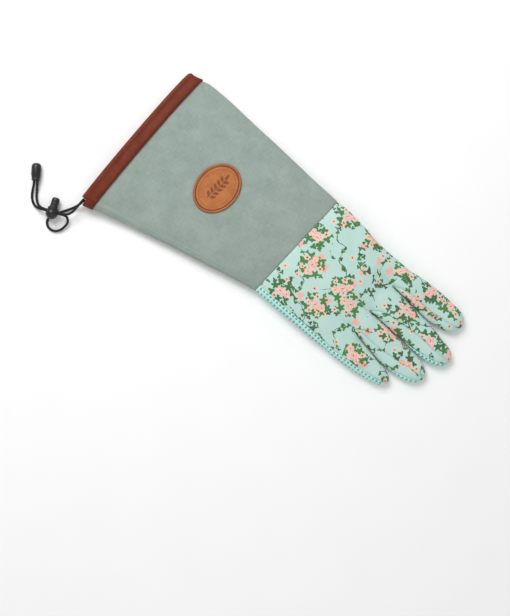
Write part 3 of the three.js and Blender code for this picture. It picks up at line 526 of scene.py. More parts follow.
def piece(name, points, faces, finish, body="glove", slot=None, maps=None):
    """A mesh piece from points in millimetres, riding on a body; maps are cloth-map pairs per point."""
    mesh = bpy.data.meshes.new(name)
    if isinstance(faces, np.ndarray):
        faces = faces.tolist()
    mesh.from_pydata(placed(points).tolist(), [], faces)
    mesh.polygons.foreach_set("use_smooth", np.full(len(mesh.polygons), True))
    if maps is not None:
        corners = np.zeros(len(mesh.loops), int)
        mesh.loops.foreach_get("vertex_index", corners)
        layer = mesh.uv_layers.new(name=CLOTH_MAP)
        layer.data.foreach_set("uv", (np.asarray(maps)[corners] / MAP_SCALE).ravel())
    mesh.materials.append(finish.material)
    made = bpy.data.objects.new(name, mesh)
    bpy.context.collection.objects.link(made)
    if body:
        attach(made, body)
    return made


def stacked(*columns):
    """Points from their coordinates, which may be single numbers."""
    return np.stack(np.broadcast_arrays(*columns), -1)


def turns(count):
    """Angles once round, in equal steps."""
    return np.linspace(0, TURN, count, endpoint=False)


def grid_faces(rows, columns, closed=False):
    """Quads of a grid of rows and columns, in reading order, joined round its columns when closed."""
    index = np.arange(rows * columns).reshape(rows, columns)
    if closed:
        index = np.hstack((index, index[:, :1]))
    near, far = index[:-1], index[1:]
    return stacked(near[:, :-1], near[:, 1:], far[:, 1:], far[:, :-1]).reshape(-1, 4)


def capped_faces(rows, columns):
    """The faces of a closed grid, with a flat face over each of its ends."""
    count = rows * columns
    ends = [list(range(columns))[::-1], list(range(count - columns, count))]
    return grid_faces(rows, columns, closed=True).tolist() + ends


def fan(pole, ring):
    """Triangles from a pole to each side of a ring of points."""
    return [[pole, a, b] for a, b in zip(ring, [*ring[1:], ring[0]])]


def distances(points):
    """Distance along a line of points, from its start to each of them."""
    return np.append(0, np.cumsum(np.linalg.norm(np.diff(points, axis=0), axis=1)))


def unit(vectors):
    """Vectors of length 1 in the same directions."""
    return vectors / np.maximum(np.linalg.norm(vectors, axis=-1), TINY)[..., None]


def at_distances(at, run, values):
    """Points or directions that are known at distances along a line, read off at other distances."""
    return stacked(*(np.interp(at, run, column) for column in values.T))


def rings(profile, sides):
    """Rings of points about Z, one for each radius and height of a profile."""
    radius, height = np.asarray(profile, float).T[:, :, None]
    turn = turns(sides)
    return stacked(radius * np.cos(turn), radius * np.sin(turn), height).reshape(-1, 3)


def tube(points, radius, sides):
    """A round tube with closed ends along points, its turn carried on from ring to ring.

    Each ring is centre + radius (cos t * side + sin t * up); side is the last side made square to the
    new direction, and the cloth map is the distance along and the distance round.
    """
    ahead = unit(np.gradient(points, axis=0))
    sideways = np.zeros_like(points)
    side = np.cross(ahead[0], (0, 0, 1.0))
    for ring, direction in enumerate(ahead):
        side = unit(side - direction * side.dot(direction))
        sideways[ring] = side
    up = np.cross(ahead, sideways)
    turn = turns(sides)
    ring = np.cos(turn)[:, None] * sideways[:, None] + np.sin(turn)[:, None] * up[:, None]
    body = (points[:, None] + radius * ring).reshape(-1, 3)
    maps = stacked(distances(points)[:, None], turn * radius)
    return body, capped_faces(len(points), sides), maps.reshape(-1, 2)


def lathe(profile, sides):
    """A turned solid: rings for a profile of (radius, height) whose first and last points are poles."""
    body = rings(profile[1:-1], sides)
    poles = [(0, 0, profile[0][1]), (0, 0, profile[-1][1])]
    count = len(body)
    faces = grid_faces(len(profile) - 2, sides, closed=True).tolist()
    faces += fan(count, list(range(sides))[::-1]) + fan(count + 1, list(range(count - sides, count)))
    return np.vstack((body, poles)), faces


def eased(profile):
    """A profile with its corners cut to quarters, twice over, and its two ends kept."""
    points = np.asarray(profile, float)
    for _ in range(2):
        first = points[:-1] * 0.75 + points[1:] * 0.25
        second = points[:-1] * 0.25 + points[1:] * 0.75
        cut = np.stack((first, second), 1).reshape(-1, points.shape[1])
        points = np.vstack((points[:1], cut[1:-1], points[-1:]))
    return points


def cleaned(mesh):
    """Joins a mesh's doubled points, such as a pole's, and turns its faces outwards."""
    work = bmesh.new()
    work.from_mesh(mesh)
    bmesh.ops.remove_doubles(work, verts=work.verts, dist=WELD_DISTANCE)
    bmesh.ops.recalc_face_normals(work, faces=work.faces)
    work.to_mesh(mesh)
    work.free()


def join(parts):
    """Several (points, faces) as one."""
    count = 0
    all_points, all_faces = [], []
    for part_points, part_faces in parts:
        all_points.append(part_points)
        all_faces += [[corner + count for corner in face] for face in part_faces]
        count += len(part_points)
    return np.vstack(all_points), all_faces


def carve(made, low, high, place):
    """Cuts a box, given by two corners in a fitting's own axes, out of a piece."""
    corners = np.array([(x, y, z) for z in (0, 1) for y in (0, 1) for x in (0, 1)], float)
    points = np.asarray(low) + corners * (np.asarray(high) - low)
    faces = [(0, 2, 3, 1), (4, 5, 7, 6), (0, 1, 5, 4), (1, 3, 7, 5), (3, 2, 6, 7), (2, 0, 4, 6)]
    mesh = bpy.data.meshes.new("cutter")
    mesh.from_pydata(placed(place(points)), [], faces)
    cutter = bpy.data.objects.new("cutter", mesh)
    bpy.context.collection.objects.link(cutter)
    cleaned(mesh)
    cleaned(made.data)
    step = made.modifiers.new("carve", "BOOLEAN")
    step.operation = "DIFFERENCE"
    step.solver = "EXACT"
    step.object = cutter
    graph = bpy.context.evaluated_depsgraph_get()
    made.data = bpy.data.meshes.new_from_object(made.evaluated_get(graph))
    made.modifiers.remove(step)
    bpy.data.objects.remove(cutter)


def through(points, per_step):
    """The centripetal curve through chosen points, as many places per step.

    Each step is a cubic with the slopes m = (b-a)/s - (c-a)/(s+t) + (c-b)/t of its neighbours, where s
    and t are the square roots of the distances; the ends are carried on straight.
    """
    points = np.asarray(points, float)
    padded = np.vstack((2 * points[0] - points[1], points, 2 * points[-1] - points[-2]))
    gap = np.linalg.norm(np.diff(padded, axis=0), axis=1)[:, None] ** 0.5
    a, b, c, d = padded[:-3], padded[1:-2], padded[2:-1], padded[3:]
    s, t, r = gap[:-2], gap[1:-1], gap[2:]
    leave = ((b - a) / s - (c - a) / (s + t) + (c - b) / t) * t
    arrive = ((c - b) / t - (d - b) / (t + r) + (d - c) / r) * t
    u = np.linspace(0, 1, per_step, endpoint=False)[None, :, None]
    bend = (2 * b - 2 * c + leave + arrive)[:, None]
    sag = (3 * c - 3 * b - 2 * leave - arrive)[:, None]
    curve = bend * u**3 + sag * u**2 + leave[:, None] * u + b[:, None]
    return np.vstack((curve.reshape(-1, 3), points[-1:]))


# ---- The glove's own form


def follow(table, column, at):
    """A column of a table at shares along it, on a smooth cubic through its rows."""
    x, y = np.array(table["along"], float), np.array(table[column], float)
    slope = np.zeros_like(y)
    slope[1:-1] = (y[2:] - y[:-2]) / (x[2:] - x[:-2])
    slope[0] = (y[1] - y[0]) / (x[1] - x[0])
    slope[-1] = (y[-1] - y[-2]) / (x[-1] - x[-2])
    row = np.clip(np.searchsorted(x, at) - 1, 0, len(x) - 2)
    span = x[row + 1] - x[row]
    t = np.clip((at - x[row]) / span, 0, 1)
    rise = y[row + 1] - y[row]
    bend = slope[row] * span * (1 - t) - slope[row + 1] * span * t - rise * (1 - 2 * t)
    return y[row] + rise * t + t * (1 - t) * bend


def smooth(t):
    """A soft step from 0 to 1."""
    t = np.clip(t, 0, 1)
    return t * t * (3 - 2 * t)


def lerp(a, b, t):
    """The value a share t of the way from a to b."""
    return a + (b - a) * t


def rounded(angle):
    """Side and rise shares of a rounded flat section: cosine and sine to the power 2 / roundness."""
    c, s = np.cos(np.radians(angle)), np.sin(np.radians(angle))
    power = 2 / ROUNDNESS
    return np.sign(c) * np.abs(c) ** power, np.sign(s) * np.abs(s) ** power


def angle_at(share):
    """The angle over the top at which a section reaches a share of its width from the index edge."""
    side = 1 - 2 * np.asarray(share)
    return np.degrees(np.arccos(np.sign(side) * np.abs(side) ** (ROUNDNESS / 2)))


def resting(x, y_index, y_little, height, ground, angle):
    """A rounded section that lies on the ground, its underside pressed flat at its lowest stretch."""
    side, rise = rounded(angle)
    y = (y_index + y_little) / 2 + (y_index - y_little) / 2 * side
    middle = height * WIDEST_AT
    under = np.maximum(middle + (middle + UNDERSIDE_PRESS) * rise, 0)
    z = np.where(rise > 0, middle + (height - middle) * rise, under)
    return stacked(x, y, ground + z)


def cuff_edges(along):
    """The cuff's index-side and little-side edges."""
    y_wrist = PALM_WIDTH * HAND["index_edge"][0]
    y_index = y_wrist - MOUTH_INSET * follow(CUFF, "inset", along)
    y_little = y_wrist - WRIST_WIDTH - CUFF_FLARE * follow(CUFF, "flare", along)
    return y_index, y_little


def cuff_rise(along):
    """The height of the cuff's section, and of the ground under it."""
    height = lerp(WRIST_HEIGHT, MOUTH_HEIGHT, follow(CUFF, "height", along))
    return height, MOUTH_LIFT * follow(CUFF, "lift", along)


def cuff_point(along, angle):
    """The cuff's surface: a resting section at each share along it, with the mouth's slant."""
    y_index, y_little = cuff_edges(along)
    point = resting(0, y_index, y_little, *cuff_rise(along), angle)
    across = np.clip((y_index - point[..., 1]) / (y_index - y_little), 0, 1)
    slant = MOUTH_SLANT * follow(CUFF, "slant", along) * across**SLANT_POWER
    point[..., 0] = -CUFF_LENGTH * along + slant
    return point


def cuff_top(x, y):
    """The height of the cuff's back over a point, from the section's own side share."""
    along = -x / CUFF_LENGTH
    y_index, y_little = cuff_edges(along)
    side = (y - (y_index + y_little) / 2) / ((y_index - y_little) / 2)
    sine = np.sqrt(np.clip(1 - np.abs(side) ** ROUNDNESS, 0, 1))
    height, ground = cuff_rise(along)
    middle = height * WIDEST_AT
    return ground + middle + (height - middle) * sine ** (2 / ROUNDNESS)


def hand_height(along):
    """The hand's height, from the wrist's to its own and down to the crotches'."""
    start = np.where(along < 0.5, WRIST_HEIGHT, CROTCH_HEIGHT)
    return lerp(start, HAND_HEIGHT, follow(HAND, "height", along))


def hand_point(along, angle):
    """The hand's surface from the wrist to the crotches."""
    y_index = PALM_WIDTH * follow(HAND, "index_edge", along)
    y_little = PALM_WIDTH * follow(HAND, "little_edge", along)
    return resting(CROTCH_REACH * along, y_index, y_little, hand_height(along), 0, angle)


def finger_edges(f, reach):
    """The index-side and little-side edges of a finger, kept apart from its neighbours'."""
    def own(g):
        """A finger's two edges by its own table."""
        along = np.clip(reach / FINGERS[g]["length"], 0, 1)
        centre = PALM_WIDTH * follow(FINGERS[g], "centre", along)
        half = PALM_WIDTH * follow(FINGERS[g], "width", along) / 2
        return centre + half, centre - half

    gap = FINGER_GAP * np.sqrt(np.clip(reach / VALLEY_RUN, 0, 1))
    index, little = own(f)
    if f > 0:
        index = np.minimum(index, (index + own(f - 1)[1] - gap) / 2)
    if f < LITTLE:
        little = np.maximum(little, (little + own(f + 1)[0] + gap) / 2)
    return index, little


def finger_point(f, along, angle):
    """A finger's surface: rounded sections that narrow to the tip as the quarter of an ellipse."""
    finger = FINGERS[f]
    reach = finger["length"] * along
    index, little = finger_edges(f, reach)
    past = np.clip((along - finger["rounding"]) / (1 - finger["rounding"]), 0, 1)
    share = np.sqrt(1 - past * past)
    full = lerp(CROTCH_HEIGHT, FINGER_HEIGHT, smooth(reach / FINGER_HEIGHT_RUN))
    side, rise = rounded(angle)
    y = (index + little) / 2 + (index - little) / 2 * share * side
    z = (full + FINGER_HEIGHT) / 4 - TIP_TUCK * (1 - share) + full * share / 2 * rise
    return stacked(CROTCH_REACH + reach, y, np.maximum(z, 0))


def drape(point):
    """Sections over the folded thumb are squeezed between it and the glove's top."""
    heading = math.radians(THUMB_ANGLE)
    dx, dy = point[..., 0] - THUMB_BASE[0], point[..., 1] - THUMB_BASE[1]
    along = dx * math.cos(heading) + dy * math.sin(heading)
    across = dy * math.cos(heading) - dx * math.sin(heading)
    half = THUMB_WIDTH / 2
    distance = np.hypot(along - np.clip(along, half, THUMB_LENGTH - half), across) - half
    lift = (THUMB_HEIGHT + THUMB_CLEARANCE) * (1 - smooth((distance - THUMB_MARGIN) / THUMB_DRAPE))
    height = hand_height(np.clip(point[..., 0] / CROTCH_REACH, 0, 1))
    point[..., 2] = lift + point[..., 2] * (1 - lift / height)
    return point


def palm_steps(f):
    """Places round the hand for a finger's palm; the little finger's goes round its edge too."""
    return PALM_STEPS + EDGE_STEPS if f == LITTLE else PALM_STEPS


def ring_angles():
    """Angles round the hand at its places: over the finger backs, then under the fingers."""
    tops = [0, *angle_at(PARTINGS), LITTLE_SEAM_ANGLE]
    unders = [LITTLE_SEAM_ANGLE, *(360 - angle_at(PARTINGS))[::-1], 360]
    angles = [lerp(tops[f], tops[f + 1], np.arange(BACK_STEPS) / BACK_STEPS) for f in range(4)]
    for f in range(LITTLE, -1, -1):
        share = np.arange(palm_steps(f)) / palm_steps(f)
        angles.append(lerp(unders[LITTLE - f], unders[LITTLE - f + 1], share))
    return np.append(np.concatenate(angles), 360)


RING = ring_angles()


def ring_angle(f, panel, u):
    """The angle round the hand of a finger's share of its back or palm."""
    start, steps = f * BACK_STEPS, BACK_STEPS
    if panel == "palm":
        before = sum(palm_steps(g) for g in range(f + 1, LITTLE + 1))
        start, steps = (LITTLE + 1) * BACK_STEPS + before, palm_steps(f)
    return np.interp(start + u * steps, np.arange(len(RING)), RING)


def own_point(f, panel, along, u):
    """A finger's own surface at a share across one of its panels, between that panel's seams."""
    back_from, back_to, palm_from = (
        follow(FINGERS[f], column, along) for column in ("back_from", "back_to", "palm_from")
    )
    palm_end = 360 - back_from
    ends = {
        "back": (back_from, back_to),
        "little_side": (back_to, palm_from),
        "palm": (palm_from, palm_end),
        "index_side": (palm_end, 360 + back_from),
    }
    return finger_point(f, along, lerp(*ends[panel], u))


def crotch_shift(f, panel, u):
    """How far a finger's section moves at the crotch, so that it meets its neighbours halfway."""
    first, last = np.zeros_like(u), np.ones_like(u)

    def halfway(v, g, other, w):
        """Half the way from this panel at v to another finger's panel at w."""
        return (own_point(g, other, first, w) - own_point(f, panel, first, v)) / 2

    if panel == "little_side":
        return halfway(u, f + 1, "index_side", 1 - u)
    if panel == "index_side":
        return halfway(u, f - 1, "little_side", 1 - u)
    back = panel == "back"
    steps = BACK_STEPS if back else palm_steps(f)
    before, after = (f - 1, f + 1) if back else (f + 1, f - 1)
    shift = np.zeros((*u.shape, 3))
    if 0 <= before <= LITTLE:
        shift += smooth(1 - u * steps)[..., None] * halfway(first, before, panel, last)
    if 0 <= after <= LITTLE:
        shift += smooth(1 - (1 - u) * steps)[..., None] * halfway(last, after, panel, first)
    return shift


def finger_surface(f, panel, along, u):
    """A finger's panel, joined to its neighbours over a short run past the crotch."""
    along, u = np.broadcast_arrays(along, u)
    fade = smooth(1 - along / SHIFT_RUN)[..., None]
    return drape(own_point(f, panel, along, u) + fade * crotch_shift(f, panel, u))


def body_surface(f, panel, along, u):
    """Cuff below 0 and hand above it, drawn into the fingers' own sections before the crotches."""
    along, u = np.broadcast_arrays(along, u)
    angle = ring_angle(f, panel, u)
    cuff = cuff_point(np.clip(-along, 0, 1), angle)
    hand = hand_point(np.clip(along, 0, 1), angle)
    target = own_point(f, panel, np.zeros_like(u), u) + crotch_shift(f, panel, u)
    target[..., 0] = CROTCH_REACH * along
    start = 1 - VALLEY_RUN / CROTCH_REACH
    mix = smooth((along - start) / (1 - start))[..., None]
    return np.where(along[..., None] < 0, cuff, drape(lerp(hand, target, mix)))


def thumb_surface(along, angle):
    """The folded thumb: a flat rounded tube with round ends, its underside pressed flat."""
    run = THUMB_LENGTH * along
    half = THUMB_WIDTH / 2
    to_end = np.clip(np.minimum(run, THUMB_LENGTH - run) / half, 0, 1)
    share = np.sqrt(1 - (1 - to_end) ** 2)
    side, rise = rounded(angle)
    across = half * share * (1 - THUMB_TAPER * smooth(along)) * side
    flat = THUMB_HEIGHT / 2
    z = np.where(rise > 0, flat * share * rise, np.maximum(flat * THUMB_PRESS * share * rise, -flat))
    heading = math.radians(THUMB_ANGLE)
    x = THUMB_BASE[0] + run * math.cos(heading) - across * math.sin(heading)
    y = THUMB_BASE[1] + run * math.sin(heading) + across * math.cos(heading)
    return stacked(x, y, flat + z)


def ripple(points, size, seed, count=14):
    """Smooth seeded unevenness from about -1 to 1: a mean of plane waves of about one size."""
    dice = np.random.default_rng(seed)
    way = unit(dice.normal(size=(count, 3)))
    waves = way * (TURN / (size * dice.uniform(*RIPPLE_SIZES, (count, 1))))
    return np.sin(points @ waves.T + dice.uniform(0, TURN, count)).mean(-1) * RIPPLE_GAIN


def waves_of(points, waves):
    """The sum of several ripples, each given by its height, size and seed."""
    return sum(height * ripple(points, size, seed) for height, size, seed in waves)


def crease(points, start, end, width):
    """A fold line seen from above: 1 on it, and less with the square of the distance."""
    start, end = np.array(start, float), np.array(end, float)
    run = end - start
    t = np.clip(((points[..., :2] - start) @ run) / run.dot(run), 0, 1)
    distance = np.linalg.norm(points[..., :2] - start - t[..., None] * run, axis=-1)
    return np.exp(-((distance / width) ** 2)) * (1 - FOLD_FADE * t)


def relief(points, seam):
    """How far the cloth stands out from the plain form: seams drawn in, puckers, folds and waves.

    Seams: a dip that fades with the square of the distance, scalloped every few millimetres. Puckers:
    a sine across the glove that fades away from the wrist. Fell: a flat raised band on the cuff's
    little-finger edge. Folds and waves act on the upper side most.
    """
    x, y, z = points[..., 0], points[..., 1], points[..., 2]
    scallop = 1 + SCALLOP * np.sin(x * SCALLOP_TURNS[0]) * np.cos(y * SCALLOP_TURNS[1])
    out = -SEAM_DEPTH * np.exp(-((seam / SEAM_WIDTH) ** 2)) * scallop
    phase = TURN * y / PUCKER_PITCH + PUCKER_DRIFT * np.sin(y / PUCKER_DRIFT_RUN)
    fade = np.exp(-np.abs(x) / PUCKER_REACH) * smooth(np.abs(x) / PUCKER_START)
    out = out + PUCKER_HEIGHT * np.sin(phase) * fade
    upper = smooth((z - UPPER_FROM) / UPPER_RUN)
    for start, end, width, depth in FOLDS:
        out = out - depth * upper * crease(points, start, end, width)
    out = out + upper * waves_of(points, CLOTH_WAVES)
    inboard = y - cuff_edges(np.clip(-x / CUFF_LENGTH, 0, 1))[1]
    band = smooth((inboard - FELL_FROM) / FELL_SLOPE) * smooth((FELL_TO - inboard) / FELL_SLOPE)
    return out + FELL_HEIGHT * band * upper * (x < 0) * (z > FELL_ABOVE)


class Skin:
    """Patches of one surface, welded where they meet, whose faces keep their panel's name."""

    def __init__(self):
        self.points, self.seams, self.maps, self.faces, self.panels = [], [], [], [], []
        self.count = 0

    def patch(self, panel, points, seam, maps, ends=1.0, beyond=None):
        """Adds a grid of points; its faces past a share of its rows are another panel's."""
        rows, columns = points.shape[:2]
        faces = grid_faces(rows, columns) + self.count
        self.faces.append(faces)
        own = int(ends * (rows - 1)) * (columns - 1)
        self.panels += [panel] * own + [beyond] * (len(faces) - own)
        self.points.append(points.reshape(-1, 3))
        self.seams.append(np.broadcast_to(seam, (rows, columns)).ravel())
        self.maps.append(maps.reshape(-1, 2))
        self.count += rows * columns

    def weld(self):
        """Joins points that agree to a thousandth, then raises or lowers each by the relief."""
        points, seams = np.vstack(self.points), np.concatenate(self.seams)
        self.maps = np.vstack(self.maps)
        _, first, self.same = np.unique(
            np.round(points * 1000).astype(int), axis=0, return_index=True, return_inverse=True
        )
        self.same = self.same.ravel()
        merged = points[first]
        nearest = np.full(len(first), np.inf)
        np.minimum.at(nearest, self.same, seams)
        quads = np.vstack(self.faces)
        self.corners = np.vstack((quads[:, [0, 1, 2]], quads[:, [0, 2, 3]]))
        self.panels = np.array(self.panels * 2)
        tri = self.same[self.corners]
        real = (tri[:, 0] != tri[:, 1]) & (tri[:, 1] != tri[:, 2]) & (tri[:, 2] != tri[:, 0])
        self.corners, self.panels = self.corners[real], self.panels[real]
        self.tri = tri[real]
        normals = self.normals(merged)
        self.outer = merged + normals * relief(merged, nearest)[:, None]
        self.outer[:, 2] = np.maximum(self.outer[:, 2], REST_HEIGHT)
        self.inward = self.normals(self.outer)

    def normals(self, points):
        """Outward directions: the sum of the crossed edges of the triangles round each point."""
        a, b, c = (points[self.tri[:, n]] for n in range(3))
        face = np.cross(b - a, c - a)
        total = np.zeros_like(points)
        for n in range(3):
            np.add.at(total, self.tri[:, n], face)
        return unit(total)

    def shell(self, panel, thickness):
        """A panel's wall: its outer faces, the same faces set in by the thickness, and its rim."""
        chosen = self.panels == panel
        raw = self.corners[chosen]
        used, local = np.unique(raw, return_inverse=True)
        tri = local.reshape(-1, 3)
        welded = self.same[used]
        places, joined = np.unique(welded, return_inverse=True)
        tri_joined = joined.ravel()[tri]
        outer = self.outer[places]
        inner = outer - self.inward[places] * thickness
        maps = np.zeros((len(places), 2))
        maps[joined.ravel()] = self.maps[used]
        edges = np.vstack((tri_joined[:, [0, 1]], tri_joined[:, [1, 2]], tri_joined[:, [2, 0]]))
        both = {tuple(edge) for edge in edges.tolist()}
        rim = [edge for edge in both if edge[::-1] not in both]
        count = len(outer)
        faces = tri_joined.tolist() + (tri_joined[:, ::-1] + count).tolist()
        faces += [[b, a, a + count, b + count] for a, b in rim]
        return np.vstack((outer, inner)), faces, np.vstack((maps, maps))


def across(points):
    """Distances across each row of a grid, from its first column and to its last."""
    steps = np.linalg.norm(np.diff(points, axis=1), axis=2)
    run = np.hstack((np.zeros((len(points), 1)), np.cumsum(steps, axis=1)))
    return run, run[:, -1:] - run


def cloth_map(points, crown, middle):
    """Flat cloth coordinates: along the glove, and across it with the drop at the sides laid out."""
    drop = crown - points[..., 2]
    return stacked(points[..., 0], points[..., 1] + np.sign(points[..., 1] - middle) * drop)


def glove_skin():
    """Cuff, hand, fingers and the strips between them as one welded surface."""
    skin = Skin()
    cuff_rows = np.linspace(-(1 - CHANNEL_DEPTH / CUFF_LENGTH), 0, CUFF_ROWS)[:, None]
    hand_rows = np.linspace(0, 1, HAND_ROWS)[:, None]
    finger_rows = np.sin(np.linspace(0, TURN / 4, FINGER_ROWS))[:, None]
    for f in range(LITTLE + 1):
        for panel, name in (("back", "hand_back"), ("palm", "hand_palm")):
            wide = PALM_COLUMNS if f < LITTLE else EDGE_COLUMNS
            u = np.linspace(0, 1, BACK_COLUMNS if panel == "back" else wide)[None]
            cuff = body_surface(f, panel, cuff_rows, u)
            cuff[-1] = body_surface(f, panel, np.zeros((1, 1)), u)[0]
            side, crown = (1, WRIST_HEIGHT) if panel == "back" else (-1, 0)
            maps = cloth_map(cuff, crown, CUFF_MAP_MIDDLE) * (side, 1)
            skin.patch("cuff", cuff, np.abs(cuff[..., 0]), maps)
            hand = body_surface(f, panel, hand_rows, u)
            run, back = across(hand)
            seam = np.abs(hand[..., 0])
            if (f == 0) == (panel == "back") and f in (0, LITTLE):
                seam = np.minimum(seam, run)
            if (f == LITTLE) == (panel == "back") and f in (0, LITTLE):
                seam = np.minimum(seam, back)
            crown = hand_height(hand_rows) if panel == "back" else 0
            skin.patch(name, hand, seam, cloth_map(hand, crown, 0))
        finger_panels = [("back", "hand_back", BACK_COLUMNS)]
        finger_panels.append(("palm", "hand_palm", PALM_COLUMNS if f < LITTLE else EDGE_COLUMNS))
        if f < LITTLE:
            finger_panels.append(("little_side", FOURCHETTES[f], FOURCHETTE_COLUMNS))
        if f > 0:
            finger_panels.append(("index_side", FOURCHETTES[f - 1], FOURCHETTE_COLUMNS))
        for panel, name, columns in finger_panels:
            u = np.linspace(0, 1, columns)[None]
            points = finger_surface(f, panel, finger_rows, u)
            run, back = across(points)
            strip = name in FOURCHETTES
            if strip:
                half = STRIP_MAP_HALF * (panel == "index_side")
                maps = stacked(points[..., 0], run + STRIP_MAP_STEP * f + half)
            else:
                share = smooth(finger_rows * FINGERS[f]["length"] / FINGER_MAP_RUN)
                middle = PALM_WIDTH * np.mean(FINGERS[f]["centre"])
                crown = points[..., 2].max(1, keepdims=True) if panel == "back" else 0
                flat = cloth_map(points, crown, middle)
                maps = lerp(points[..., :2], flat, share[..., None])
            ends = math.asin(STRIPS_END) * 4 / TURN if strip else 1.0
            skin.patch(name, points, np.minimum(run, back), maps, ends, "hand_back")
    skin.weld()
    return skin


# ---- Finishes


def weave(finish, place, pitch):
    """A plain weave's height: the product of two sines, a thread apart each way."""
    x, y = finish.apart(place)
    turn = TURN / pitch
    return (x * turn).sin() * (y * turn).sin() * 0.5 + 0.5


def canvas_finish():
    """Sage canvas: a plain weave of uneven threads, as noise drawn out along and across the cuff."""
    finish = Finish("sage canvas", Roughness=0.92, Sheen_Weight=0.08, Specular_IOR_Level=0.3)
    place = finish.cloth_place()
    threads = weave(finish, place, 1.1)
    warp = finish.noise(finish.vector("MULTIPLY", place, (0.1, 1, 1)), 0.9, 2)
    weft = finish.noise(finish.vector("MULTIPLY", place, (1, 0.1, 1)), 0.9, 2)
    slub = (warp + weft) * 0.5
    cloudy = finish.noise(place, 24, 3)
    light = (threads * 0.2 + slub * 0.9 + cloudy * 0.5 - 0.3).held()
    finish.paint(finish.mix(light, tint(113, 127, 120), tint(168, 182, 174)))
    finish.bump(threads * 0.6 + slub * 0.6, 0.22, 0.55)
    return finish


def leather_finish(name, dark, light, grain):
    """Leather: cells of grain, cloudy colour and a little gloss that follows the grain."""
    finish = Finish(name, Specular_IOR_Level=0.22)
    place = finish.object_place()
    given = {"Vector": place, "Scale": 1 / grain, "Randomness": 1.0}
    cells = finish.node("ShaderNodeTexVoronoi", given, "Distance", feature="F1")
    cloudy = finish.noise(place, 9, 4, 0.6)
    fine = finish.noise(place, 0.8, 2)
    shade = (cloudy * 0.9 + cells * 0.22 + fine * 0.2 - 0.2).held()
    finish.paint(finish.mix(shade, dark, light))
    finish.set("Roughness", fine * 0.16 + cells * 0.1 + 0.43)
    finish.bump(cells * 0.7 + fine * 0.4, 0.16, 0.6)
    return finish


MINT = tint(172, 210, 199)
MINT_PALE = tint(190, 217, 211)
ROSE_CREAM = tint(240, 212, 192)
ROSE_PALE = tint(238, 200, 187)
ROSE_DEEP = tint(232, 164, 154)
PEACH_DEEP = tint(234, 176, 152)
BLUSH = tint(237, 170, 161)
HEART = tint(92, 40, 30)
STAMEN = tint(214, 178, 120)
LEAF = tint(62, 122, 44)
LEAF_DARK = tint(40, 86, 40)
LEAF_PALE = tint(124, 170, 96)
STEM = tint(44, 76, 46)
SCORCHED = tint(96, 42, 20)

# The print: the size of its vines' noise and the share of their ground, each layer's cells as (shift,
# pitch, looseness), and a cluster's motifs round its middle
WHORL_PITCH = 3.1
VINE_SIZE = 30
VINE_DETAIL = 1.5
VINE_HALF = 0.009
VINE_REACH = 0.055
BLUR_CELLS = ((13, 7, 0), 23, 0.7)
LEAF_CELLS = ((0, 0, 0), 5.6, 0.7)
BLOSSOM_CELLS = ((4, 31, 0), 13, 0.8)
CLUSTER_CELLS = ((-6, 19, 0), 35, 0.6)
CLUSTER_LEAVES = (
    ((6.9, 3.6), 4.9, 0.7, 5), ((-6.8, 5.4), 5.0, 2.9, 5), ((-9.6, -2.4), 4.0, 5.0, 3),
    ((2.2, -9.4), 4.9, 1.7, 5), ((10.2, -3.4), 3.6, 3.6, 3), ((1.4, 9.8), 4.2, 4.4, 3),
    ((-5.2, -10.4), 3.4, 0.2, 3), ((12.2, 3.0), 2.9, 5.7, 3), ((-12.6, 2.6), 2.5, 1.2, 3),
    ((7.4, -12.4), 2.6, 2.2, 3), ((-2.6, 14.0), 2.4, 3.1, 3),
)


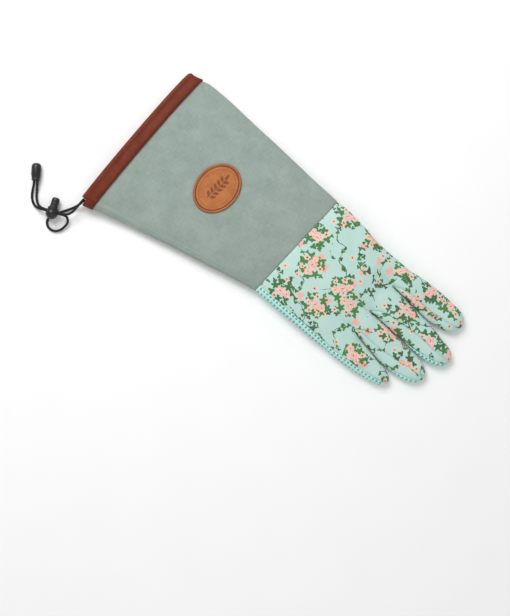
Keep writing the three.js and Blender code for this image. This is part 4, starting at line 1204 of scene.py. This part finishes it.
class Print:
    """A printed cloth in layers: each motif's mask lays its own colour over what is there."""

    def __init__(self, finish, colour):
        self.finish = finish
        self.colour = colour

    def lay(self, mask, colour):
        """Covers what is there with a colour, as much as the mask says."""
        self.colour = self.finish.mix(mask, self.colour, colour)

    def cells(self, place, shift, pitch, looseness):
        """Loose cells a pitch apart: the place in each, turned at random, two chances, its point."""
        place = self.finish.vector("ADD", place, shift)
        given = {"Vector": place, "Scale": 1 / pitch, "Randomness": looseness}
        cell = self.finish.node(
            "ShaderNodeTexVoronoi", given, "Position", voronoi_dimensions="2D", feature="F1"
        )
        chances = self.finish.node("ShaderNodeSeparateColor", [cell.also("Color")])
        away = self.finish.vector("SUBTRACT", place, cell)
        turned = self.finish.node(
            "ShaderNodeVectorRotate",
            {"Vector": away, "Angle": chances * TURN},
            rotation_type="Z_AXIS",
        )
        x, y = self.finish.apart(turned)
        return x, y, chances.also("Green"), chances.also("Blue"), cell

    def polar(self, x, y, at):
        """Distance and angle from a point."""
        dx, dy = x - at[0], y - at[1]
        return (dx * dx + dy * dy) ** 0.5, dy.arctan2(dx)

    def lobed(self, x, y, at, radius, lobes, depth, soft, turn=0.0):
        """A lobed disc: its edge is radius (1 - depth + depth cos(lobes t)), with a soft rim."""
        far, angle = self.polar(x, y, at)
        edge = (angle * lobes + turn).cos() * (depth * radius) + radius * (1 - depth)
        return ((edge - far) * (1 / soft)).held(), far, angle

    def spot(self, far, radius, colour, show):
        """A round spot, with a rim a third of a millimetre wide."""
        self.lay(((radius - far) * 3).held() * show, colour)

    def rose(self, x, y, at, radius, pale, deep, blotch, show=1.0):
        """A rose: a lobed disc whose petals are a faint spiral broken by blotches, with a heart."""
        disc, far, angle = self.lobed(x, y, at, radius, 5, 0.11, 0.3)
        whorl = (far * (TURN / WHORL_PITCH) - angle * 2).sin()
        petals = self.finish.mix((whorl * 0.5 + blotch * 2.4 - 0.75).held(), pale, deep)
        self.lay(disc * show, petals)
        self.spot(far, radius * 0.15, HEART, show)

    def blossom(self, x, y, at, radius, show=1.0):
        """A small open flower: five petals, a ring of stamens and a dark heart."""
        petals, far, _ = self.lobed(x, y, at, radius, 5, 0.15, 0.3)
        self.lay(petals * show, self.finish.mix((far * (1 / radius)).held(), ROSE_DEEP, ROSE_CREAM))
        self.spot(far, radius * 0.4, STAMEN, show)
        self.spot(far, radius * 0.27, HEART, show)

    def leaf(self, x, y, at, radius, turn, colour, lobes=3, show=1.0):
        """A clump of leaves that meet at a point, split by a pale vein each."""
        clump, far, angle = self.lobed(x, y, at, radius, lobes, 0.24, 0.3, turn)
        vein = ((angle * lobes + turn) / 2).cos()
        vein = ((0.12 - abs(vein)) * 8).held() * (far < radius * 0.6) * 0.5
        self.lay(clump * show, self.finish.mix(vein, colour, LEAF_PALE))


def floral_finish():
    """Printed cotton: blurred blossoms, winding vines in leaf, and clusters of roses, loosely repeated.

    A vine runs where a broad noise crosses its middle value, and the leaves on it are small cells whose
    own points lie near that crossing.
    """
    finish = Finish("rose print cotton", Roughness=0.88, Sheen_Weight=0.06, Specular_IOR_Level=0.25)
    place = finish.cloth_place()
    wobble = finish.noise(place, 2.3, 2).also("Color")
    nudge = finish.vector("SCALE", finish.vector("SUBTRACT", wobble, (0.5, 0.5, 0.5)), Scale=1.8)
    drawn = finish.vector("ADD", place, nudge)
    blotch = finish.noise(drawn, 2.4, 1)
    cloth = Print(finish, finish.mix(finish.noise(place, 30, 2), MINT, MINT_PALE))

    x, y, chance, _, _ = cloth.cells(drawn, *BLUR_CELLS)
    blur, _, _ = cloth.lobed(x, y, (0, 0), 6.0, 3, 0.16, 2.4)
    cloth.lay(blur * (chance > 0.35) * 0.95, BLUSH)

    def height(point):
        """How far the vines' noise is from its middle value."""
        return finish.noise(point, VINE_SIZE, VINE_DETAIL) - 0.5

    open_ground = finish.noise(place, 16, 1) > 0.47
    cloth.lay(((VINE_HALF - abs(height(drawn))) * 220).held() * open_ground, STEM)
    x, y, chance, tone, point = cloth.cells(drawn, *LEAF_CELLS)
    near = (abs(height(point)) < VINE_REACH) * open_ground
    green = finish.mix(tone, LEAF_DARK, LEAF)
    cloth.leaf(x, y, (0, 0), 2.7, 0.4, green, show=near * (chance > 0.15))
    x, y, chance, _, _ = cloth.cells(drawn, *BLOSSOM_CELLS)
    cloth.blossom(x, y, (0, 0), 3.2, chance > 0.62)

    x, y, chance, tone, _ = cloth.cells(drawn, *CLUSTER_CELLS)
    green = finish.mix(tone, LEAF_DARK, LEAF)
    shown = chance > 0.15
    for at, radius, turn, lobes in CLUSTER_LEAVES:
        cloth.leaf(x, y, at, radius, turn, green, lobes, shown)
    warm = finish.mix(tone > 0.5, ROSE_DEEP, PEACH_DEEP)
    cloth.rose(x, y, (-4.4, -5.2), 4.6, ROSE_PALE, warm, blotch, shown)
    cloth.rose(x, y, (4.6, 5.6), 3.9, ROSE_CREAM, ROSE_DEEP, blotch, shown * (chance > 0.5))
    cloth.rose(x, y, (0.4, 0.4), 5.3, ROSE_PALE, ROSE_DEEP, blotch, shown)
    cloth.blossom(x, y, (-3.6, 8.4), 3.4, shown)
    cloth.blossom(x, y, (7.6, -4.8), 3.5, chance > 0.3)
    cloth.blossom(x, y, (-9.4, 0.6), 2.9, chance > 0.6)

    threads = weave(finish, place, 0.8)
    worn = finish.noise(place, 0.7, 2)
    finish.paint(finish.mix((threads * 0.1).held(), cloth.colour, tint(225, 236, 230)))
    finish.bump(threads * 0.5 + worn * 0.5, 0.1, 0.5)
    return finish


def grip_finish():
    """Aqua knit under the grip dots, with faint ribs along the fingers and soft pink flecks."""
    finish = Finish("aqua knit", Roughness=0.88, Sheen_Weight=0.1, Specular_IOR_Level=0.3)
    place = finish.cloth_place()
    threads = weave(finish, place, 0.9)
    flecks = ((finish.noise(place, 11, 1) - 0.62) * 6).held() * 0.5
    ground = finish.mix(finish.noise(place, 20, 2), tint(176, 226, 218), tint(196, 232, 227))
    finish.paint(finish.mix(flecks, ground, tint(236, 222, 216)))
    finish.bump(threads, 0.12, 0.5)
    return finish


def mottled_finish(name, size, dark, light, detail=2.0, **constants):
    """A plain material whose colour wanders between two, in patches of about one size."""
    finish = Finish(name, **constants)
    finish.paint(finish.mix(finish.noise(finish.object_place(), size, detail), dark, light))
    return finish


def dot_finish():
    """Rubbery teal of the raised grip dots."""
    teal = tint(52, 152, 134), tint(86, 180, 160)
    finish = mottled_finish("teal grip", 14, *teal, 3, Specular_IOR_Level=0.45)
    finish.set("Roughness", finish.noise(finish.object_place(), 1.5) * 0.2 + 0.35)
    return finish


def braid_finish(name, mapped=True):
    """Braided black elastic: two sets of slanting ribs that cross, over the cord's own map.

    The cord inside the binding has no map: it runs along Y there, with X across it.
    """
    finish = Finish(name, Roughness=0.75, Specular_IOR_Level=0.35)
    if mapped:
        along, around = finish.apart(finish.cloth_place())
    else:
        around, along = finish.apart(finish.object_place())
    lengthwise, crosswise = along * (TURN / BRAID_PITCH), around * (BRAID_RIBS * 2 / CORD)
    one, two = (lengthwise + crosswise).sin(), (lengthwise - crosswise).sin()
    ribs = one.most(two) * 0.5 + 0.5
    finish.paint(finish.mix(ribs, tint(5, 5, 6), tint(38, 38, 40)))
    finish.bump(ribs, 0.3, 0.9)
    return finish


def plastic_finish():
    """Black moulded plastic with a fine spark-eroded grain and paler rubbed patches."""
    finish = Finish("moulded plastic", Specular_IOR_Level=0.5)
    place = finish.object_place()
    rubbed = finish.noise(place, 4, 3)
    finish.paint(finish.mix(rubbed, tint(12, 12, 13), tint(36, 36, 38)))
    finish.set("Roughness", rubbed * 0.22 + 0.24)
    finish.bump(finish.noise(place, 0.35), 0.05, 0.5)
    return finish


def thread_finish(name, dark, light):
    """Sewing thread with a fine twist."""
    return mottled_finish(name, 0.8, dark, light, Roughness=0.8, Specular_IOR_Level=0.2)


def oval(x, y, inset):
    """How far a place is from the patch's middle, as a share of an oval set in from its rim."""
    return ((x / (PATCH_LENGTH / 2 - inset)) ** 2 + (y / (PATCH_WIDTH / 2 - inset)) ** 2) ** 0.5


def oval_line(x, y, inset, half, sharp):
    """A line along an oval set in from the patch's rim, as far each way as its half width."""
    across = abs(oval(x, y, inset) - 1) * ((PATCH_LENGTH + PATCH_WIDTH) / 4 - inset)
    return ((half - across) * sharp).held()


def pressed_leaf(x, y, start, side):
    """A leaf off the stem: a lens |v| < w (1 - (2 t - 1)^2), turned up and out from its start."""
    turn = math.radians(90 - side * LEAF_SPREAD)
    dy = y - start
    t = (x * math.cos(turn) + dy * math.sin(turn)) * (1 / LEAF_LENGTH)
    v = abs(dy * math.cos(turn) - x * math.sin(turn))
    inside = (((1 - (t * 2 - 1) ** 2) * LEAF_HALF - v) * 3).held()
    return inside - inside * ((LEAF_VEIN - v) * 5).held() * 0.7


def patch_finish():
    """Tan leather with a dark pressed oval line and a plain pressed leaf sprig."""
    finish = leather_finish("tan patch leather", tint(150, 84, 42), tint(196, 126, 74), 1.5)
    x, y = finish.apart(finish.cloth_place())
    cloth = Print(finish, finish.colour)
    _, turn = cloth.polar(x / PATCH_LENGTH, y / PATCH_WIDTH, (0, 0))
    sway = (y * STEM_SWAY_TURN).sin() * STEM_SWAY
    stem = ((STEM_WIDTH - abs(x - sway)) * 3).held() * (abs(y) < STEM_REACH)
    leaves = [(step * LEAF_STEP + LEAF_START, side) for step in range(-2, 3) for side in (-1, 1)]
    lines = [
        oval_line(x, y, PRESSED_AT, PRESSED_WIDTH, 2.5) * 0.9,
        oval_line(x, y, INNER_LINE_AT, INNER_LINE_WIDTH, 2.5) * 0.7,
        oval_line(x, y, DASHES_AT, DASHES_WIDTH, 5.283) * ((turn * DASHES).sin() > -0.1) * 0.6,
        stem * 0.8,
        *(pressed_leaf(x, y, start, side) * 0.75 for start, side in (*leaves, (TOP_LEAF_AT, 0))),
    ]
    mark = lines[0]
    for line in lines[1:]:
        mark = mark.most(line)
    cloth.lay(mark, SCORCHED)
    cloth.lay(((oval(x, y, 0) - 0.94) * 14).held() * 0.6, tint(112, 54, 26))
    finish.paint(cloth.colour)
    return finish


# ---- Pieces

braid = braid_finish("braided elastic")
plastic = plastic_finish()


def strand(name, points):
    """A free cord along its chosen points."""
    curve = through(points, CORD_STEPS)
    body, faces, maps = tube(curve, CORD / 2, CORD_SIDES)
    return piece(name, body, faces, braid, slot="elastic_cord", maps=maps), curve


def headed(heading, dip, at):
    """Puts a fitting's points in place: its Z points out along a heading, its X lies level."""
    turn, tilt = math.radians(heading), math.radians(dip)
    level = math.cos(tilt)
    out = np.array((math.cos(turn) * level, math.sin(turn) * level, -math.sin(tilt)))
    sideways = np.array((math.sin(turn), -math.cos(turn), 0))
    axes = np.stack((sideways, np.cross(out, sideways), out))
    return lambda points: points @ axes + at


lock_place = headed(LOCK_HEADING, LOCK_DIP, LOCK_AT)
end_place = headed(END_HEADING, 0, END_AT)


def fitting(name, profile, place, body, cuts):
    """A turned plastic piece with the cord's ways cut through it."""
    points, faces = lathe(profile, FITTING_SIDES)
    made = piece(name, place(points), faces, plastic, body=None)
    for low, high in cuts:
        carve(made, low, high, place)
    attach(made, body)
    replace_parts(made, name)
    made.name = name + "_looks"
    return made


def lock_profile():
    """A ball and a collar, then the bore down to its floor."""
    ball, collar, bore = LOCK_BALL / 2, LOCK_COLLAR / 2, LOCK_BORE / 2
    turn = np.radians(np.linspace(-90, 14, 25))
    round_part = stacked(ball * np.cos(turn), ball * np.sin(turn))
    round_part[0, 0] = 0
    rim = [
        (collar, 2.2), (collar, LOCK_RIM - 0.4), (collar - 0.15, LOCK_RIM - 0.12),
        (collar - 0.5, LOCK_RIM), (bore + 0.1, LOCK_RIM), (bore, LOCK_RIM - 0.15),
    ]
    inside = [(bore, LOCK_INSIDE + LOCK_CHAMFER), (bore - LOCK_CHAMFER, LOCK_INSIDE), (0, LOCK_INSIDE)]
    return np.vstack((round_part, rim, inside))


def plunger_profile():
    """A stem with a rounded crown and two shallow grip grooves."""
    half, low, top = PLUNGER / 2, HOLE_AT - HOLE_HALF, PLUNGER_REACH
    foot = low - 1
    stem = [(0, foot), (half - PLUNGER_FOOT, foot), (half, foot + PLUNGER_FOOT), (half, top - 8)]
    grooves = [
        (half - GROOVE, top - 7.7), (half - GROOVE, top - 7.2), (half, top - 6.9), (half, top - 6.1),
        (half - GROOVE, top - 5.8), (half - GROOVE, top - 5.3), (half, top - 5),
    ]
    turn = np.radians(np.linspace(0, 70, 8))
    crown = (half, top) + PLUNGER_CROWN * (stacked(np.cos(turn), np.sin(turn)) - 1)
    return np.vstack((stem, grooves, crown, [(0, top)]))


short, short_way = strand("cord_short_strand", SHORT_STRAND)
long, long_way = strand("cord_long_strand", LONG_STRAND)
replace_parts(short, "drawcord_short")
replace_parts(long, "drawcord_long")

hole_low = (-LOCK_BALL, -HOLE_WIDTH / 2, HOLE_AT - HOLE_HALF)
hole_high = np.array((LOCK_BALL, HOLE_WIDTH / 2, HOLE_AT + HOLE_HALF))
hole = (hole_low, hole_high)
long_hole = (hole_low, hole_high + (0, 0, PLUNGER_TRAVEL))
lock = fitting("cord_lock_body", lock_profile(), lock_place, "glove", [hole])
fitting("cord_lock_plunger", plunger_profile(), lock_place, "plunger", [long_hole])
socket_reach = np.array((SOCKET_HALF, SOCKET_HALF, SOCKET_DEPTH))
socket_middles = np.array(((-SOCKET_SPREAD, 0, 0), (SOCKET_SPREAD, 0, 0)))
sockets = [(middle - socket_reach, middle + socket_reach) for middle in socket_middles]
end_profile = [(radius * END_DIAMETER / 2, along * END_LENGTH) for along, radius in END_PROFILE]
cord_end = fitting("cord_end", end_profile, end_place, "glove", sockets)


def thumb_skin():
    """The thumb's two halves as one welded surface: the upper half faces the palm."""
    halves = Skin()
    along = (0.5 - 0.5 * np.cos(np.linspace(0, TURN / 2, THUMB_ROWS)))[:, None]
    for name, start in (("thumb_front", 0), ("thumb_back", 180)):
        points = thumb_surface(along, start + np.linspace(0, 180, THUMB_COLUMNS)[None])
        run, back = across(points)
        maps = cloth_map(points, THUMB_HEIGHT / 2, THUMB_MAP_MIDDLE) + THUMB_MAP_SHIFT
        halves.patch(name, points, np.minimum(run, back), maps)
    halves.weld()
    return halves


floral = floral_finish()
knit = grip_finish()
glove, thumb = glove_skin(), thumb_skin()
for skin, name, finish, slot in (
    (glove, "cuff", canvas_finish(), "canvas"),
    (glove, "hand_back", floral, "floral_cotton"),
    (glove, "hand_palm", knit, "dotted_grip"),
    *((glove, strip, floral, "floral_cotton") for strip in FOURCHETTES),
    (thumb, "thumb_front", knit, "dotted_grip"),
    (thumb, "thumb_back", floral, "floral_cotton"),
):
    points, faces, maps = skin.shell(name, CLOTH * WALL_SHARE)
    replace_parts(piece(name + "_cloth", points, faces, finish, slot=slot, maps=maps), name)


def instances(shape, faces, centres, axes):
    """Copies of one small shape: each point is centre + x * first axis + y * second + z * third."""
    body = np.einsum("pk,nkd->npd", shape, axes) + centres[:, None]
    offsets = np.arange(len(centres)) * len(shape)
    copies = [[[corner + offset for corner in face] for face in faces] for offset in offsets.tolist()]
    return body.reshape(-1, 3), [face for copy in copies for face in copy]


def dome(width, height, sides=10):
    """A low dome: rings at shares of its half width, each as high as the root of what is left."""
    share = np.array((1.0, 0.82, 0.5))
    profile = [(1, -0.5), *zip(share, np.sqrt(1 - share**2))] * np.array((width / 2, height))
    points = np.vstack((rings(profile, sides), [(0, 0, height)]))
    top = len(points) - 1
    faces = grid_faces(len(profile), sides, closed=True).tolist()
    return points, faces + fan(top, list(range(top - sides, top))) + [list(range(sides))[::-1]]


def dot_row(surface, along):
    """Dots at equal distances across one row of a palm, with their outward directions."""
    u = np.linspace(0, 1, DOT_SAMPLES)
    points = surface(np.full(len(u), along), u)
    ahead = surface(np.full(len(u), along + LOOK_AHEAD), u) - points
    run = distances(points)
    if run[-1] < DOT_PITCH:
        return np.zeros((0, 3)), np.zeros((0, 3))
    at = np.arange(DOT_PITCH * DOT_EDGES[0], run[-1] - DOT_PITCH * DOT_EDGES[1], DOT_PITCH)
    normal = unit(np.cross(np.gradient(points, axis=0), ahead))
    points = points + normal * relief(points, np.minimum(run, run[-1] - run))[:, None]
    points[:, 2] = np.maximum(points[:, 2], REST_HEIGHT)
    return at_distances(at, run, points), at_distances(at, run, normal)


def palm_surface(along, u):
    """The whole palm, from the little-finger edge to the index side."""
    f = np.clip(LITTLE - np.floor(u * 4), 0, LITTLE).astype(int)
    out = np.zeros((len(u), 3))
    for g in range(LITTLE + 1):
        chosen = f == g
        out[chosen] = body_surface(g, "palm", along[chosen], u[chosen] * 4 - (LITTLE - g))
    return out


def grip_dots():
    """Rows of small domes over the palm and the undersides of the fingers."""
    reaches = np.arange(PALM_DOTS_FROM, CROTCH_REACH - 1, DOT_PITCH)
    rows = [dot_row(palm_surface, reach / CROTCH_REACH) for reach in reaches]
    for f, finger in enumerate(FINGERS):
        surface = partial(finger_surface, f, "palm")
        reaches = np.arange(FINGER_DOTS_FROM, finger["length"] - FINGER_DOTS_FROM, DOT_PITCH)
        rows += [dot_row(surface, reach / finger["length"]) for reach in reaches]
    centres, normals = (np.vstack(column) for column in zip(*rows))
    side = unit(np.cross((1.0, 0, 0), normals))
    axes = np.stack((np.cross(side, normals), side, normals), 1)
    points, faces = instances(*dome(DOT_WIDTH, DOT_HEIGHT), centres, axes)
    points[:, 2] = np.maximum(points[:, 2], 0)
    return points, faces


piece("grip_dots", *grip_dots(), dot_finish(), slot="dotted_grip")


def binding_section():
    """The folded strip's outline as depth from the mouth and height over the canvas."""
    wall, over, under, middle = BINDING_WALL, BINDING_GAP, -CLOTH - BINDING_GAP, -CLOTH / 2
    neck, wide, close = CHANNEL_DEPTH + 0.8, CHANNEL_DEPTH - 1.3, wall + TUNNEL * 0.5
    bulge = TUNNEL * 0.75
    outer = [
        (BINDING_WIDTH, over + wall), (10, over + wall + 0.1), (neck, over + wall),
        (wide, middle + TUNNEL + wall), (close, middle + TUNNEL + wall), (0.5, middle + bulge),
        (0, middle), (0.5, middle - bulge), (close, middle - TUNNEL - wall),
        (wide, middle - TUNNEL - wall), (neck, under - wall), (10, under - wall - 0.1),
        (BINDING_WIDTH, under - wall),
    ]
    inner = [
        (BINDING_WIDTH, under), (neck, under), (wide, middle - TUNNEL), (close, middle - TUNNEL),
        (wall, middle), (close, middle + TUNNEL), (wide, middle + TUNNEL), (neck, over),
        (BINDING_WIDTH, over),
    ]
    return np.vstack((eased(outer), eased(inner)))


def mouth_frame(angle):
    """Outward directions of the canvas along the mouth: ahead round it crossed with inward."""
    at = 1 - BINDING_WIDTH / 2 / CUFF_LENGTH
    ahead = cuff_point(at, angle + MOUTH_TURN) - cuff_point(at, angle - MOUTH_TURN)
    inward = cuff_point(at - MOUTH_STEP, angle) - cuff_point(at + MOUTH_STEP, angle)
    return unit(np.cross(ahead, inward))


def round_mouth(start, end, pitch):
    """Angles at equal distances round the mouth, from one angle to another."""
    angle = np.linspace(start, end, MOUTH_SAMPLES)
    run = distances(cuff_point(np.full(len(angle), MOUTH_LINE_AT), angle))
    return np.interp(np.linspace(0, run[-1], max(int(run[-1] / pitch), 2)), run, angle)


def leather_strip(section, angle):
    """A section carried round the mouth, each point at its depth and height over the canvas.

    Waves move all of it but the faces next to the canvas.
    """
    angle = angle[:, None]
    normal = mouth_frame(angle)
    base = cuff_point(1 - section[None, :, 0] / CUFF_LENGTH, angle)
    height = section[None, :, 1]
    outside = np.abs(height + CLOTH / 2) > CLOTH / 2 + 2 * BINDING_GAP
    lift = height + waves_of(base, BINDING_WAVES) * outside * np.sign(height)
    points = base + normal * lift[..., None]
    points[..., 2] = np.maximum(points[..., 2], 0)
    faces = [face[::-1] for face in capped_faces(len(points), len(section))]
    return points.reshape(-1, 3), faces


def notch_flap(low):
    """The strip inside the cord's notch, where one flat layer is left at a height over the canvas."""
    high = low + BINDING_WALL
    outline = [
        (BINDING_WIDTH, low), (NOTCH_DEPTH + 0.3, low), (NOTCH_DEPTH, low + 0.3),
        (NOTCH_DEPTH, high - 0.3), (NOTCH_DEPTH + 0.3, high), (BINDING_WIDTH, high),
    ]
    return np.array(outline[::-1])


def binding():
    """The folded strip from one side of the notch round to the other, and the notch's two flaps."""
    across_notch = round_mouth(notch_angle - NOTCH_TUCK, 360 - notch_angle + NOTCH_TUCK, BINDING_STEP)
    around = round_mouth(360 - notch_angle, 360 + notch_angle, BINDING_STEP)
    flaps = [notch_flap(low) for low in (BINDING_GAP, -CLOTH - BINDING_GAP - BINDING_WALL)]
    strip = leather_strip(binding_section(), around)
    return join([strip, *(leather_strip(flap, across_notch) for flap in flaps)])


y_index, y_little = cuff_edges(np.array(1.0))
notch_angle = angle_at(1 - NOTCH_WIDTH / (y_index - y_little))
brown = leather_finish("brown binding leather", tint(84, 30, 14), tint(128, 54, 30), 1.2)
made = piece("binding_leather", *binding(), brown, slot="binding_leather")
cleaned(made.data)
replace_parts(made, "cuff_binding")


def leather_patch():
    """The oval patch: rings and turns over the cuff's back, domed, with a pressed oval line."""
    share = np.append(0, np.linspace(0.03, 1, PATCH_RINGS) ** 0.9)[:, None]
    turn = turns(PATCH_SIDES)
    x, y = PATCH_LENGTH / 2 * share * np.cos(turn), PATCH_WIDTH / 2 * share * np.sin(turn)
    inset = (1 - share) * (PATCH_LENGTH + PATCH_WIDTH) / 4
    edge = 1 - np.sqrt(np.clip(1 - (1 - np.clip(inset, 0, 1)) ** 2, 0, 1))
    pressed = np.exp(-(((inset - PRESSED_AT) / PRESSED_WIDTH) ** 2))
    pucker = PATCH_PUCKER * np.sin(turn * PATCH_PUCKERS) * np.exp(-inset / PATCH_PUCKER_REACH)
    base = stacked(x + PATCH_AT[0], y + PATCH_AT[1], 0)
    low = cuff_top(base[..., 0], base[..., 1]) + PATCH_GAP
    drop = PATCH_EDGE_DROP * edge + PRESSED_DEPTH * pressed
    top = low + PATCH_THICKNESS - drop + pucker + waves_of(base, PATCH_WAVES) * (1 - edge)
    points = np.concatenate([base + height[..., None] * (0, 0, 1) for height in (top, low)])
    faces = grid_faces(*x.shape, closed=True)
    rim = np.arange(x.size - PATCH_SIDES, x.size)
    after = np.roll(rim, -1)
    wall = stacked(rim, after, after + x.size, rim + x.size)
    maps = stacked(x, y).reshape(-1, 2)
    faces = np.vstack((faces[:, ::-1], faces + x.size, wall[:, ::-1]))
    return points.reshape(-1, 3), faces, np.vstack((maps, maps))


points, faces, maps = leather_patch()
made = piece("patch_leather", points, faces, patch_finish(), slot="patch_leather", maps=maps)
cleaned(made.data)
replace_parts(made, "leather_patch")


def stitch_line(places, normals, pitch, length, width):
    """Sunken stitches along a line of places: small rounded bars that follow it."""
    run = distances(places)
    at = np.arange(pitch, run[-1] - pitch, pitch)
    ahead = unit(at_distances(at, run, np.gradient(places, run, axis=0)))
    up = unit(at_distances(at, run, normals))
    axes = np.stack((unit(np.cross(up, ahead)), up, ahead), 1)
    profile = [(radius * width / 2, along * length) for along, radius in STITCH_RINGS]
    faces = capped_faces(len(profile), STITCH_SIDES)
    return instances(rings(profile, STITCH_SIDES), faces, at_distances(at, run, places), axes)


def binding_line():
    """The stitch line on the binding's outer face, with its outward directions."""
    angle = round_mouth(360 - notch_angle, 360 + notch_angle, 0.5)
    up = mouth_frame(angle)
    places = cuff_point(np.full(len(angle), 1 - BINDING_LINE_AT / CUFF_LENGTH), angle)
    return places + up * (BINDING_GAP + BINDING_WALL), up


def fell_line(inboard):
    """A stitch line on the cuff's back, a distance in from its little-finger edge."""
    along = np.linspace(FELL_START, 1 - (BINDING_WIDTH + 2) / CUFF_LENGTH, FELL_SAMPLES)
    y_index, y_little = cuff_edges(along)
    y = y_little + inboard
    x = cuff_point(along, angle_at((y_index - y) / (y_index - y_little)))[:, 0]
    places = stacked(x, y, cuff_top(x, y))
    slope = (cuff_top(x, y) - cuff_top(x, y + FELL_STEP)) / FELL_STEP
    up = unit(stacked(0, slope, 1))
    height = relief(places, np.full(len(x), np.inf)) + STITCH_LIFT
    return places + up * height[:, None], up


thread = thread_finish("brown thread", tint(60, 26, 16), tint(112, 58, 38))
points, faces = stitch_line(*binding_line(), *BINDING_STITCH)
piece("binding_stitches", points, faces, thread, slot="binding_leather")
lines = [stitch_line(*fell_line(inboard), *CUFF_STITCH) for inboard in (FELL_FROM + 1, FELL_TO - 1)]
sage = thread_finish("sage thread", tint(112, 124, 117), tint(150, 162, 154))
piece("cuff_stitches", *join(lines), sage, slot="canvas")

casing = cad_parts["drawcord_in_casing"]
casing.data.materials.clear()
casing.data.materials.append(braid_finish("braided elastic inside", mapped=False).material)


# ---- Floor


FLOOR = 4000
FLOOR_DROP = 0.05
table = mottled_finish("pale table", 60, (0.92, 0.92, 0.92, 1), (0.95, 0.95, 0.95, 1), Roughness=0.7)
corners = np.array([(-1, -1, 0), (1, -1, 0), (1, 1, 0), (-1, 1, 0)]) * FLOOR - (0, 0, FLOOR_DROP)
piece("table", corners, [(0, 1, 2, 3)], table, body=None)
